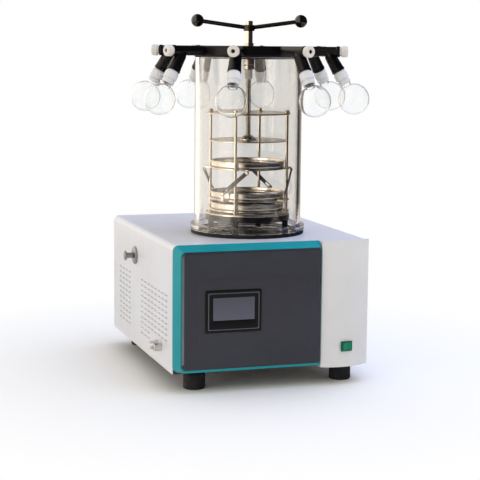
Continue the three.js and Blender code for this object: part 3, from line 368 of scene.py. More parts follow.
def noise(tree, size_mm, detail, stretch=(1, 1, 1)):
    """A noise between 0 and 1 whose features are about this many millimetres."""
    return add(tree, "TexNoise", {"Vector": on_object(tree, stretch), "Scale": 1 / (size_mm * MM),
                                  "Detail": detail}).outputs["Fac"]


def mottle(tree, shader, colour, other, size_mm):
    """Base colour that drifts between two near shades in patches of the given size."""
    fade = add(tree, "MapRange", {"Value": noise(tree, size_mm, 3.0), "From Min": 0.35,
                                  "From Max": 0.65})
    blend(tree, shader, fade.outputs[0], colour, other)


def uneven_gloss(tree, shader, low_value, high_value, size_mm, stretch=(1, 1, 1)):
    """Roughness that drifts between two values in patches of the given size."""
    spread = add(tree, "MapRange", {"Value": noise(tree, size_mm, 4.0, stretch), "From Min": 0.3,
                                    "From Max": 0.7, "To Min": low_value, "To Max": high_value})
    tree.links.new(spread.outputs[0], shader.inputs["Roughness"])


def relief(tree, shader, size_mm, depth_mm, stretch=(1, 1, 1), detail=2.0):
    """Bump from noise: features of one size in millimetres, raised by a depth in millimetres."""
    bump = add(tree, "Bump", {"Height": noise(tree, size_mm, detail, stretch), "Strength": 1.0,
                              "Distance": depth_mm * MM})
    tree.links.new(bump.outputs["Normal"], shader.inputs["Normal"])


# %% [markdown]
# Painted sheet steel is powder coated: the powder melts into a skin with a faint orange peel,
# a few millimetres from crest to crest, and an even satin gloss. The top and side panels take
# the same paint. Moulded parts carry the fine grain of their mould instead.

# %% Paints and mouldings
def powder_coat(name, colour, shade, gloss=(0.38, 0.48)):
    """Powder-coated sheet steel with orange peel."""
    material, tree, shader = finish(name, colour, 0.42, Coat_Weight=0.12, Coat_Roughness=0.25)
    mottle(tree, shader, colour, shade, 220)
    uneven_gloss(tree, shader, *gloss, 60)
    relief(tree, shader, 3.5, 0.03)
    return material


def grained_plastic(name, colour, shade, gloss, grain_mm=1.2, grain_depth_mm=0.04, **sockets):
    """Injection-moulded ABS with the grain of its mould."""
    material, tree, shader = finish(name, colour, gloss[0], IOR=1.52, **sockets)
    mottle(tree, shader, colour, shade, 90)
    uneven_gloss(tree, shader, *gloss, 25)
    relief(tree, shader, grain_mm, grain_depth_mm, detail=4.0)
    return material


WHITE_PAINT = powder_coat("powder_coated_steel_white", "#DDDEE0", "#D7D7D9")
COLUMN_PAINT = powder_coat("powder_coated_steel_column", "#E0DED9", "#D9D7D3")
# Painted shade: the base pan is painted dark so that the strip under the front bezel reads as the shade
# beneath the cabinet.
BASE_SHADE_PAINT = powder_coat("powder_coated_steel_dark", "#26282B", "#2E3034")
ENAMEL = powder_coat("stove_enamelled_steel_black", "#202225", "#2A2C2F", (0.3, 0.45))
SATIN = (0.3, 0.42)           # the gloss of most mouldings and dull metals
TEAL = grained_plastic("moulded_abs_teal", "#08959C", "#088F96", (0.28, 0.4), Specular_IOR_Level=0.35)
CHARCOAL = grained_plastic("moulded_abs_charcoal", "#32343C", "#2E3037", (0.36, 0.5),
                           Specular_IOR_Level=0.4)
BLACK_ABS = grained_plastic("moulded_abs_black", "#08090B", "#0C0D10", SATIN, Specular_IOR_Level=0.2)
TRIM_GREY = grained_plastic("moulded_abs_grey_trim", "#56595E", "#505358", SATIN)
ROCKER_RIM = grained_plastic("moulded_abs_dark_green", "#0C5A40", "#0B5039", SATIN,
                             Specular_IOR_Level=0.3)
WHITE_POM = grained_plastic("turned_acetal_ivory", "#E6DFD4", "#DDD4C6", (0.25, 0.36), 2.5, 0.02)
COLLAR_WHITE = grained_plastic("moulded_polypropylene_white", "#E6E5E1", "#DAD9D6", SATIN, 2, 0.03)
MANIFOLD_BLACK = grained_plastic("cast_nylon_black", "#050507", "#09090C", SATIN, 1.8, 0.05,
                                 Specular_IOR_Level=0.2)
BALL_BLACK = grained_plastic("phenolic_ball_black", "#050506", "#08080A", (0.14, 0.22), 6, 0.01)
GREEN = grained_plastic("tinted_polycarbonate_green", "#057E5A", "#047452", (0.16, 0.24), 3, 0.01,
                        Specular_IOR_Level=0.2)
# Painted shade: a grey sheet set behind each louvre slot, standing for the shade inside the cabinet.
SLOT_SHADE_GREY = grained_plastic("pressed_felt_grey", "#A4A4A0", "#9A9A96", (0.8, 0.9), 2.0, 0.2)
print("paints and mouldings ready")


# %% [markdown]
# Rubber is dull because its skin is full of pits far smaller than a millimetre. The overlay is a
# thin printed polyester film with its print left bare, so only a slightly different black and a
# smoother surface set it off from the moulding around it.

# %% Rubber, overlay and screen
def moulded_rubber(name, colour, shade):
    """Moulded rubber with a fine pitted skin."""
    material, tree, shader = finish(name, colour, 0.75, Specular_IOR_Level=0.35)
    mottle(tree, shader, colour, shade, 30)
    uneven_gloss(tree, shader, 0.62, 0.82, 8)
    relief(tree, shader, 0.9, 0.05, detail=5.0)
    return material


FOOT_RUBBER = moulded_rubber("moulded_rubber_foot", "#17171A", "#1F1F22")
SEAL_RUBBER = moulded_rubber("moulded_nitrile_seal", "#101013", "#18181B")
OVERLAY = grained_plastic("printed_polyester_film", "#292B35", "#272932", (0.3, 0.38), 5, 0.004)

SCREEN, tree, shader = finish("touch_glass_over_display", "#404352", 0.12, Coat_Weight=0.4,
                              Coat_Roughness=0.04, IOR=1.5)
# Painted sheen: the blank screen's colour goes from lighter at its foot to darker at its top, standing
# for light on its glass.
height = add(tree, "SeparateXYZ", {"Vector": on_object(tree)})
painted_sheen = add(tree, "MapRange", {"Value": height.outputs["Z"], "From Min": low("display_screen")[2] * MM,
                              "From Max": high("display_screen")[2] * MM})
blend(tree, shader, painted_sheen.outputs[0], "#464A58", "#383B48")
print("rubber, overlay and screen ready")


# %% [markdown]
# Stainless steel has one colour and many surfaces. Sheet parts are brushed: fine scratches all
# run one way and smear reflections across them. Turned parts carry faint rings left by the tool.
# Both are a metal with the default index and a noise stretched along the direction of working.
# The valves' plated brass and the blackened handle have no such direction: they look evenly dull.

# %% Metals
def worked_steel(name, colour, shade, gloss, size_mm, depth_mm, stretch=(1, 1, 1)):
    """Steel whose scratches or tool rings are noise, drawn out along the axes with low stretch."""
    material, tree, shader = finish(name, colour, gloss[0], 1.0)
    mottle(tree, shader, colour, shade, 60)
    uneven_gloss(tree, shader, *gloss, size_mm * 4, stretch)
    relief(tree, shader, size_mm, depth_mm, stretch)
    return material


AROUND = (0.08, 0.08, 1)      # drawn out sideways, fine up and down: rings round Z
UPWARD = (1, 1, 0.1)          # drawn out up and down
SHEET_STEEL = worked_steel("brushed_stainless_sheet", "#D8D3C8", "#C8C2B6", (0.18, 0.3), 1.2, 0.02,
                           AROUND)
ROD_STEEL = worked_steel("drawn_stainless_rod", "#D2CCC0", "#BEB7AA", (0.12, 0.22), 1.5, 0.015, AROUND)
TURNED_STEEL = worked_steel("turned_stainless", "#CDC8BE", "#B9B3A8", (0.16, 0.28), 0.8, 0.02, AROUND)
TRAY_STEEL = worked_steel("pressed_stainless_tray", "#E6E1D9", "#DAD4CA", (0.12, 0.24), 1.6, 0.02,
                          AROUND)
NICKEL = worked_steel("satin_nickel_brass", "#8E9092", "#808284", SATIN, 8, 0.01)
CHROME = worked_steel("satin_chromed_brass", "#C6C8CB", "#B8BABD", SATIN, 8, 0.01)
DARK_STEEL = worked_steel("blackened_steel_knurled", "#4A4643", "#35322F", SATIN, 1.5, 0.03)
# Painted highlight: a grey that stands for the light caught along the front panel's left bevel.
BEVEL_HIGHLIGHT_GREY = worked_steel("satin_grey_foil", "#74848A", "#6B7B81", (0.34, 0.44), 3, 0.01, UPWARD)
ALUMINIUM = worked_steel("rolled_aluminium_fin", "#C3C6C9", "#B4B8BC", (0.32, 0.46), 2, 0.02, UPWARD)
print("metals ready")


# %% [markdown]
# The chamber is a thick acrylic tube: almost colourless from the front, faintly grey-blue at the
# edges where the eye looks along the wall. The flasks are blown borosilicate glass, thinner and
# slightly wavy. Both are real closed walls with an index of refraction, so the bright and dark
# lines at their edges come from the geometry.

# %% Clear materials
ACRYLIC, tree, shader = finish("cast_acrylic_clear", "#ECEBE9", 0.02, Transmission_Weight=1.0, IOR=1.49,
                               Specular_IOR_Level=0.35)
relief(tree, shader, 90, 0.15, (1, 1, 0.3))
FLASK_GLASS, tree, shader = finish("blown_borosilicate_glass", "#FCFDFD", 0.015,
                                   Transmission_Weight=1.0, IOR=1.22, Specular_IOR_Level=0.5)
relief(tree, shader, 25, 0.06)
print("clear materials ready")

# %% [markdown]
# The studio: a pale floor that fades into white paper, and a room whose brightness depends on
# what looks at it. Whatever is seen directly shows white paper, and so does what is seen through
# glass, except where the glass bends the view far aside: there the paper is greyer. Light that
# arrives on a dull surface comes from a room a little dimmer than white. What polished
# surfaces mirror is drawn by direction: a wide window on the left, paper behind, and a dark room
# on the right, which gives each round steel part one bright side and one dark side. The world is
# left out of light sampling, so that every ray meets it as the kind of ray that it is.

# %% Room
ROOM_LEVEL = 0.74
MIRROR_ROOM, MIRROR_WINDOW, MIRROR_PAPER = 0.06, 2.1, 0.6
WINDOW_TURN, PAPER_TURN, BACKDROP_TURN = 162, 84, 72     # their middles, in degrees from +X
WINDOW_EDGE, PAPER_EDGE, BACKDROP_EDGE = (0.1, 0.5), (0.72, 0.95), (0.5, 0.85)
BACKDROP_SIDES = 0.45

world = bpy.data.worlds.new("studio")
world.use_nodes = True
world.cycles.sampling_method = "NONE"
bpy.context.scene.world = world
sky = world.node_tree
sky.nodes.clear()


def maths(tree, operation, first, second):
    """A sum, product or comparison of two values or sockets."""
    return add(tree, "Math", {0: first, 1: second}, operation=operation).outputs[0]


def seen_plainly(tree):
    """1 for rays from the camera, straight or through glass alone, and 0 after any bounce."""
    path = add(tree, "LightPath").outputs
    sight = maths(tree, "MAXIMUM", path["Is Camera Ray"], path["Is Transmission Ray"])
    bounced = maths(tree, "ADD", path["Glossy Depth"], path["Diffuse Depth"])
    return maths(tree, "GREATER_THAN", sight, bounced)


def light_from(turn, edge, strength):
    """Brightness of a soft-edged patch of wall. It rises from 0 to its full strength while the
    cosine of a direction's angle from the middle goes from the edge's first value to its second."""
    middle_way = (math.cos(math.radians(turn)), math.sin(math.radians(turn)), 0)
    way = add(sky, "TexCoord").outputs["Generated"]
    facing = add(sky, "VectorMath", {0: way, 1: middle_way}, operation="DOT_PRODUCT").outputs["Value"]
    return add(sky, "MapRange", {"Value": facing, "From Min": edge[0], "From Max": edge[1],
                                 "To Max": strength}, interpolation_type="SMOOTHSTEP").outputs[0]


def shining(colour, strength):
    """A background of one colour."""
    return add(sky, "Background", {"Color": linear(colour), "Strength": strength}).outputs[0]


walls = maths(sky, "MAXIMUM", light_from(WINDOW_TURN, WINDOW_EDGE, MIRROR_WINDOW),
              light_from(PAPER_TURN, PAPER_EDGE, MIRROR_PAPER))
backdrop = maths(sky, "ADD", light_from(BACKDROP_TURN, BACKDROP_EDGE, 1 - BACKDROP_SIDES),
                 BACKDROP_SIDES)
path = add(sky, "LightPath").outputs
mirrored = maths(sky, "MINIMUM", path["Glossy Depth"], 1.0)
paper = shining("#FFFFFF", maths(sky, "MAXIMUM", path["Is Camera Ray"], backdrop))
mirror = add(sky, "AddShader", {0: shining("#FFF1DF", walls), 1: shining("#C9CEE0", MIRROR_ROOM)})
lit = add(sky, "MixShader", {"Fac": mirrored, 1: shining("#F4F4F4", ROOM_LEVEL), 2: mirror.outputs[0]})
choice = add(sky, "MixShader", {"Fac": seen_plainly(sky), 1: lit.outputs[0], 2: paper})
add(sky, "OutputWorld", {"Surface": choice.outputs[0]})

# %% [markdown]
# The floor is matt paper. Near the object it shows the shadow, and further out it fades into
# plain white, so there is no horizon. Three large soft lamps light the object: one low on the
# left, one in front on the right, and a wide, cooler one overhead.

# %% Floor and lamps
FLOOR_REACH = 3.0             # metres, as all lengths in this cell
FADE_START, FADE_END = 0.35, 1.1                # away from the origin
floor_material, tree, shader = finish("studio_floor_paper", "#FDFAF3", 0.9)
from_axis = add(tree, "VectorMath", {0: add(tree, "TexCoord").outputs["Object"]}, operation="LENGTH")
fade = add(tree, "MapRange", {"Value": from_axis.outputs["Value"], "From Min": FADE_START,
                              "From Max": FADE_END})
paper = add(tree, "Emission", {"Color": (1, 1, 1, 1), "Strength": 1.0})
amount = maths(tree, "MULTIPLY", fade.outputs[0], seen_plainly(tree))
whitened = add(tree, "MixShader", {"Fac": amount, 1: shader.outputs[0], 2: paper.outputs[0]})
tree.links.new(whitened.outputs[0], tree.nodes["Material Output"].inputs["Surface"])

floor_mesh = bpy.data.meshes.new("floor")
corners = FLOOR_REACH * np.array([[-1, -1, 0], [1, -1, 0], [1, 1, 0], [-1, 1, 0]])
floor_mesh.from_pydata(corners.tolist(), [], [[0, 1, 2, 3]])
floor_mesh.materials.append(floor_material)
floor = bpy.data.objects.new("floor", floor_mesh)
bpy.context.scene.collection.objects.link(floor)


def soft_lamp(name, at, aim, size, watts, colour):
    """A square area lamp that looks from one point at another. Only dull surfaces show it."""
    lamp = bpy.data.lights.new(name, "AREA")
    lamp.size = size
    lamp.energy = watts
    lamp.color = linear(colour)[:3]
    stand = bpy.data.objects.new(name, lamp)
    stand.visible_glossy = False
    bpy.context.scene.collection.objects.link(stand)
    direction = np.array(aim, float) - np.array(at, float)
    stand.location = at
    stand.rotation_euler = (math.atan2(math.hypot(*direction[:2]), -direction[2]), 0,
                            math.atan2(direction[1], direction[0]) - math.pi / 2)


CENTRE = (AXIS_X * MM, AXIS_Y * MM, 0.5)
soft_lamp("key_left", (-3.0, -1.2, 0.55), CENTRE, 1.8, 22.5, "#FFF8F3")
soft_lamp("fill_front", (1.8, -2.4, 2.6), CENTRE, 1.8, 13, "#FFF3E2")
soft_lamp("top", (1.1, 0.0, 2.8), CENTRE, 3.0, 58, "#AFC6FF")
print("studio ready")


# %% [markdown]
# Solids that are right as they are keep their mesh and only get a finish: the folded cover with
# its louvres, the base pan, the rear panel and the machinery inside.

# %% Finishes on the CAD's own solids
CAD_FINISHES = {
    WHITE_PAINT: ("cabinet_cover", "rear_panel"),
    # The base pan's dark paint is painted shade for the strip under the bezel.
    BASE_SHADE_PAINT: ("base_pan",),
    ENAMEL: ("compressor",),
    ALUMINIUM: ("condenser",),
    BLACK_ABS: ("fan_rotor", "power_inlet", "display_bezel"),
    ROCKER_RIM: ("switch_housing",),
    COLUMN_PAINT: ("switch_column",),
    TEAL: ("front_bezel",),
    CHARCOAL: ("front_panel",),
    SCREEN: ("display_screen",),
    GREEN: ("power_rocker",),
    NICKEL: ("vent_valve_body", "vent_valve_knob"),
    CHROME: ("drain_valve_body", "drain_valve_lever"),
    DARK_STEEL: ("shelf_link_1", "shelf_link_2", "shelf_link_3", "shelf_link_4"),
    TURNED_STEEL: ("vacuum_port", "gland_boss"),
    SHEET_STEEL: ("cold_trap", "press_plate"),
    ROD_STEEL: ("rack_frame", "shelf_1", "shelf_2", "shelf_3", "press_spindle"),
    TRAY_STEEL: ("tray_1", "tray_2", "tray_3"),
    SEAL_RUBBER: ("chamber_gasket", "lid_gasket"),
    FOOT_RUBBER: ("foot_front_left", "foot_front_right", "foot_rear_left", "foot_rear_right"),
    ACRYLIC: ("chamber_cylinder",),
    MANIFOLD_BLACK: ("lid_manifold", "rack_base"),
    BALL_BLACK: ("press_handle",),
    WHITE_POM: tuple(f"valve_knob_{i}" for i in range(1, 9)),
    FLASK_GLASS: tuple(f"flask_{i}" for i in range(1, 9)),
}
for material, nodes in CAD_FINISHES.items():
    for node in nodes:
        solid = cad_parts[node]
        for slot in solid.material_slots:
            slot.material = material
missing = set(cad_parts) - {node for nodes in CAD_FINISHES.values() for node in nodes}
print("finished", sum(len(nodes) for nodes in CAD_FINISHES.values()), "solids, left out", missing)

# %% [markdown]
# The chamber stands on a flat rubber seal and carries the lid on another. Its tube and its
# foot flange are one turned wall, so the profile is drawn once, its corners are rounded, and it
# is swept round the axis with enough facets to stay smooth in close-up.

# %% Chamber wall and its two seals
def half_width(node):
    """Half a solid's width: the outer radius of a round one."""
    return (high(node)[0] - low(node)[0]) / 2


TUBE_RADIUS, TUBE_BORE = 145, 135
FLANGE_HEIGHT, FLANGE_STEP = 20, 5     # the flange is stepped in over its foot
tube_low, tube_high = low("chamber_cylinder")[2], high("chamber_cylinder")[2]
flange = half_width("chamber_cylinder")
tube = turned([
    (TUBE_BORE, tube_low), (flange - 6, tube_low), (flange - 6, tube_low + FLANGE_STEP),
    (flange, tube_low + FLANGE_STEP), (flange, tube_low + FLANGE_HEIGHT),
    (TUBE_RADIUS, tube_low + FLANGE_HEIGHT), (TUBE_RADIUS, tube_high), (TUBE_BORE, tube_high),
    (TUBE_BORE, tube_low)], 1.5, FINE)
piece("chamber_wall", place(tube, ON_AXIS), ACRYLIC, "root", ["chamber_cylinder"],
      clear=True)
LIP_IN, LIP_OUT = flange - 5.6, flange - 2     # the seal's lip stands round that foot
seal_low, seal_high = low("chamber_gasket")[2], high("chamber_gasket")[2]
lip_top = tube_low + FLANGE_STEP - 0.3
foot_seal = turned([
    (TUBE_BORE - 4, seal_low), (LIP_OUT, seal_low), (LIP_OUT, lip_top), (LIP_IN, lip_top),
    (LIP_IN, seal_high), (TUBE_BORE - 4, seal_high), (TUBE_BORE - 4, seal_low)], 0.8, FINE)
lid_seal = bush(TUBE_BORE - 2, half_width("lid_gasket"), low("lid_gasket")[2],
                high("lid_gasket")[2], 1, FINE)
piece("chamber_seal", place(foot_seal, ON_AXIS), SEAL_RUBBER, "root", ["chamber_gasket"])
piece("lid_seal", place(lid_seal, ON_AXIS), SEAL_RUBBER, "root", ["lid_gasket"])


# %% [markdown]
# The lid is one casting: a thick disc, eight arms that leave it level with its edge, and under
# each arm a neck that leans outward. The solids give the arms' height. Their directions repeat
# every eighth of a turn from the first, which faces the camera.

# %% Lid with its arms and necks
PORTS, FIRST_PORT = 8, 243.0                # the first one's direction in degrees from +X
LID_RADIUS, LID_THICKNESS, SPIGOT_DEPTH, GLAND_BORE = 150, 26, 8, 13
ARM_RADIUS, ARM_REACH, ARM_COLLAR = 13, 246, 14.5
NECK_REACH, NECK_TILT, NECK_LENGTH = 221, 30.0, 46
LID_UNDER = high("lid_gasket")[2] + 0.3
LID_TOP = LID_UNDER + LID_THICKNESS
ARM_HEIGHT = LID_UNDER + LID_THICKNESS / 2
port_turns = [FIRST_PORT + 360 * i / PORTS for i in range(PORTS)]
OUTWARD = rotated("Y", 90)    # turns +Z to point along +X


def at_port(turn):
    """Places a piece drawn on the +X side at an arm's direction."""
    return ON_AXIS @ rotated("Z", turn)


lid_disc = turned([
    (GLAND_BORE, LID_UNDER - SPIGOT_DEPTH), (TUBE_BORE - 4, LID_UNDER - SPIGOT_DEPTH),
    (TUBE_BORE - 4, LID_UNDER), (LID_RADIUS, LID_UNDER), (LID_RADIUS, LID_TOP),
    (GLAND_BORE, LID_TOP), (GLAND_BORE, LID_UNDER - SPIGOT_DEPTH)], 2, FINE)
arm = turned([
    (0, TUBE_RADIUS - 10), (ARM_RADIUS, TUBE_RADIUS - 10),
    (ARM_RADIUS, ARM_REACH - 9), (ARM_COLLAR, ARM_REACH - 8), (ARM_COLLAR, ARM_REACH),
    (5, ARM_REACH), (5, ARM_REACH + 10), (0, ARM_REACH + 10)], 1, steps=3)
neck = turned([
    (0, -NECK_LENGTH - 18), (9.6, -NECK_LENGTH - 18), (9.6, -NECK_LENGTH),
    (18, -NECK_LENGTH), (18, -NECK_LENGTH + 6), (17.2, -NECK_LENGTH + 7),
    (15.5, -4), (15.5, 0), (12, 12), (0, 12)], 1, steps=3)
LEAN = moved(NECK_REACH, 0, LID_UNDER) @ rotated("Y", -NECK_TILT)
casting = [place(lid_disc, ON_AXIS)]
for turn in port_turns:
    casting.append(place(arm, at_port(turn), moved(z=ARM_HEIGHT), OUTWARD))
    casting.append(place(neck, at_port(turn), LEAN))
piece("lid_casting", together(*casting), MANIFOLD_BLACK, "root", ["lid_manifold"])


# %% [markdown]
# Each arm ends in a small valve, turned by an ivory acetal knob. The knob is a thick button with
# a narrower skirt behind it and a dark well in its face, where the stem's end can be seen. A black
# plug stands in the well for the stem's end, and its black is also painted shade, so the well reads
# as a deep hole from across a room.

# %% Valve knobs
KNOB_RADIUS, KNOB_LENGTH = 15, 21
WELL_RADIUS, WELL_DEPTH = 5, 7
well_floor = KNOB_LENGTH - WELL_DEPTH
knob_shape = turned([
    (0, 10.3), (5.4, 10.3), (5.4, 0), (12, 0), (12, 4),
    (KNOB_RADIUS, 5), (KNOB_RADIUS, KNOB_LENGTH - 3), (12, KNOB_LENGTH),
    (WELL_RADIUS, KNOB_LENGTH), (WELL_RADIUS, well_floor), (0, well_floor)], 2, steps=5)
stem_end_shade_shape = pin(WELL_RADIUS - 0.2, well_floor - 1, KNOB_LENGTH - 2.5, 0.8)
for i, turn in enumerate(port_turns, 1):
    spot = at_port(turn) @ moved(ARM_REACH + 0.3, 0, ARM_HEIGHT) @ OUTWARD
    piece(f"valve_knob_{i}_button", place(knob_shape, spot), WHITE_POM, f"valve_knob_{i}",
          [f"valve_knob_{i}"])
    piece(f"valve_knob_{i}_stem_end", place(stem_end_shade_shape, spot), MANIFOLD_BLACK, f"valve_knob_{i}")


# %% [markdown]
# A flask hangs from each neck: a white collar that grips the glass, a short throat and a round
# bulb. The bulb is a real shell, a little over a millimetre thick. Its outside is an arc from the
# south pole up to the throat, its inside the same arc drawn smaller by the thickness.

# %% Flasks and their collars
BULB_RADIUS, GLASS_WALL = 41.4, 1.1
COLLAR_LENGTH, COLLAR_RADIUS = 37, 18
mouth = -NECK_LENGTH - 0.3
collar_end = mouth - COLLAR_LENGTH
bulb_centre = collar_end - 46


def bulb_arc(radius, throat, steps=28):
    """A circle's arc from its lowest point up to where it meets the throat's radius."""
    angle = np.linspace(0, math.pi - math.asin(throat / radius), steps)
    return np.stack([radius * np.sin(angle), bulb_centre - radius * np.cos(angle)], axis=-1)


outside = bulb_arc(BULB_RADIUS, 13)
inside = bulb_arc(BULB_RADIUS - GLASS_WALL, 10.4)[::-1]
outside[0, 0] = inside[-1, 0] = 0
throat = soften([outside[-1], (13, collar_end), (13, mouth - 2), (10.4, mouth - 2), inside[0]], 1)
flask_shape = turned(np.concatenate([outside[:-1], throat, inside[1:]]), facets=64)
collar_shape = turned([
    (13.3, collar_end), (15.5, collar_end), (17, collar_end + 9),
    (14.6, collar_end + 10.5), (14.6, collar_end + 13),
    (COLLAR_RADIUS, collar_end + 14.5), (COLLAR_RADIUS, mouth - 7),
    (15, mouth), (10.6, mouth), (10.6, mouth - 1.7),
    (13.3, mouth - 1.7), (13.3, collar_end)], 1.2)
for i, turn in enumerate(port_turns, 1):
    piece(f"flask_{i}_bulb", place(flask_shape, at_port(turn), LEAN), FLASK_GLASS, "root",
          [f"flask_{i}"], clear=True)
    piece(f"flask_{i}_collar", place(collar_shape, at_port(turn), LEAN), COLLAR_WHITE, "root")

# %% [markdown]
# The press: a screw that turns in the lid's gland, with a handle on top and a plate below that
# it pushes down on the trays. The screw's thread is a real helix. Its radius falls and rises
# once for each turn, so at angle t and height h it is r - d * wave(h / pitch - t / 2 pi).

# %% Press screw and gland
SPINDLE_RADIUS, SPINDLE_BORE, SHAFT_RADIUS = 7.2, 7.5, 10
THREAD_PITCH, THREAD_DEPTH, THREAD_STEPS = 4, 0.9, 8      # steps a turn
SPINDLE_LOW, SHAFT_TOP = low("press_spindle")[2], high("press_spindle")[2]


def screw_thread(bottom, top):
    """A rounded helical thread closed at both ends, faded out over its first and last turn."""
    height = np.linspace(bottom, top, int((top - bottom) / THREAD_PITCH * THREAD_STEPS))[:, None]
    angle = around_z(SLIM)
    wave = 0.5 - 0.5 * np.cos(2 * np.pi * height / THREAD_PITCH - angle)
    fade = np.clip(np.minimum(height - bottom, top - height) / THREAD_PITCH, 0, 1)
    return swept(angle, zip(SPINDLE_RADIUS - THREAD_DEPTH * wave * fade, height))


thread = screw_thread(SPINDLE_LOW, LID_TOP + 1)
shaft = pin(SHAFT_RADIUS, LID_TOP, SHAFT_TOP, 1.5, ROUND)
piece("press_screw_shaft", place(together(thread, shaft), ON_AXIS), ROD_STEEL, "press_screw",
      ["press_spindle"])

GLAND_RADIUS, GLAND_STEM = 15.5, 12.7
gland_low, gland_high = low("gland_boss")[2], high("gland_boss")[2]
shoulder = LID_UNDER - SPIGOT_DEPTH - 0.3
gland = turned([
    (SPINDLE_BORE, gland_low), (GLAND_RADIUS - 2, gland_low), (GLAND_RADIUS, gland_low + 2),
    (GLAND_RADIUS, gland_low + 12), (GLAND_RADIUS - 1, gland_low + 13),
    (GLAND_RADIUS, gland_low + 14), (GLAND_RADIUS, shoulder), (GLAND_STEM, shoulder),
    (GLAND_STEM, gland_high), (10.3, gland_high), (10.3, gland_low + 22),
    (SPINDLE_BORE, gland_low + 22), (SPINDLE_BORE, gland_low)], 0.8)
piece("gland_collar", place(gland, ON_AXIS), TURNED_STEEL, "root", ["gland_boss"])
SLEEVE_RADIUS, SLEEVE_LENGTH = 10.5, 24     # an acetal bush that guides the screw
sleeve = bush(SPINDLE_BORE, SLEEVE_RADIUS, gland_low - SLEEVE_LENGTH, gland_low + 0.5, 1, ROUND)
piece("gland_bush", place(sleeve, ON_AXIS), WHITE_POM, "root")


# %% [markdown]
# The handle is a turned hub with two bars that rise outward, each with a black phenolic ball on
# its end. Both sides are the same shape, half a turn from one another.

# %% Handle
HUB_RADIUS, HUB_HALF, HUB_DROP = 15, 8, 19
HANDLE_TURN = -18.0
BALL_REACH, BALL_RISE, BALL_RADIUS, BAR_RADIUS = 139, 19, 17.2, 5.5
bar_length = math.hypot(BALL_REACH, BALL_RISE)
bar_climb = math.degrees(math.atan2(BALL_RISE, BALL_REACH))
hub = bush(SHAFT_RADIUS + 0.3, HUB_RADIUS, -HUB_HALF, HUB_HALF, 1.5, ROUND)
bar = pin(BAR_RADIUS, HUB_RADIUS - 3, bar_length - 14, 0.5)
arc = np.linspace(0, np.pi, 32)
ball = turned(np.stack([BALL_RADIUS * np.sin(arc) * (arc % np.pi > 1e-9),
                        bar_length - BALL_RADIUS * np.cos(arc)], axis=-1))
HANDLE = ON_AXIS @ moved(z=SHAFT_TOP - HUB_DROP) @ rotated("Z", HANDLE_TURN)
sides = [HANDLE @ rotated("Z", turn) @ rotated("Y", 90 - bar_climb) for turn in (0, 180)]
piece("handle_bar", together(place(hub, HANDLE), *[place(bar, side) for side in sides]), DARK_STEEL,
      "press_screw", ["press_handle"])
piece("handle_balls", together(*[place(ball, side) for side in sides]), BALL_BLACK, "press_screw",
      ["press_handle"])


# %% [markdown]
# The press plate has four notches that ride on the rack's rods. Its rim is a circle except where
# a rod stands: there the radius drops to the near side of a small circle about the rod, which is
# R cos(d) - sqrt(n^2 - (R sin(d))^2) at an angle d from the rod.

# %% Press plate
FIRST_ROD = 234.5             # degrees from +X
ROD_CIRCLE, ROD_RADIUS, NOTCH_RADIUS = 108.5, 4, 4.6
rod_turns = [FIRST_ROD + 90 * i for i in range(4)]
plate_low, plate_high = low("press_plate")[2], high("press_plate")[2]
PLATE_RADIUS, PLATE_THICKNESS, PLATE_EDGE = 107, 3, 0.6


def notched_rim(angle):
    """The rim's radius at each angle, with a notch round every rod."""
    rim = np.full_like(angle, PLATE_RADIUS)
    for turn in rod_turns:
        away = (angle - math.radians(turn) + np.pi) % (2 * np.pi) - np.pi
        inside_notch = NOTCH_RADIUS ** 2 - (ROD_CIRCLE * np.sin(away)) ** 2
        near = np.where((np.abs(away) < 1) & (inside_notch > 0),
                        ROD_CIRCLE * np.cos(away) - np.sqrt(np.maximum(inside_notch, 0)), PLATE_RADIUS)
        rim = np.minimum(rim, near)
    return rim


angle = around_z(720)
rim = notched_rim(angle)
plate_top = plate_low + PLATE_THICKNESS
disc = swept(angle, [
    (0, plate_low), (rim - PLATE_EDGE, plate_low), (rim, plate_low + PLATE_EDGE),
    (rim, plate_top - PLATE_EDGE), (rim - PLATE_EDGE, plate_top), (0, plate_top)])
foot = turned([
    (0, plate_low + 1), (22, plate_low + 1), (22, plate_top + 2), (11, plate_high),
    (SPINDLE_BORE, plate_high), (SPINDLE_BORE, plate_low + 7.7), (0, plate_low + 7.7)], 1)
piece("press_disc", place(together(disc, foot), ON_AXIS), SHEET_STEEL, "press_plate",
      ["press_plate"])


# %% [markdown]
# The rack is bought-in rod, sawn and threaded at its ends, between two turned rings, with a black
# ring of nylon below that keeps it off the cold trap. Hexagon nuts hold the top plate.

# %% Rack
NUT_RADIUS, NUT_HEIGHT = 7, 6
RACK_BASE_LOW, RACK_TOP = low("rack_frame")[2], high("rack_frame")[2]
TOP_PLATE = (CASE_TOP + 323, CASE_TOP + 327)


def hexagon_nut(radius, height):
    """A hexagon prism with its corners turned off at both ends: each ring's radius is the
    hexagon's own, or less where the turning cone cuts it."""
    angle = around_z(ROUND)
    flat = radius * math.cos(math.pi / 6) / np.cos((angle + np.pi / 6) % (np.pi / 3) - np.pi / 6)
    steps = [(0, 0), (0.88, 0), (0.95, 0.06), (2, 0.18), (2, 0.82), (0.95, 0.94), (0.88, 1), (0, 1)]
    return swept(angle, [(np.minimum(flat, share * radius), level * height) for share, level in steps])


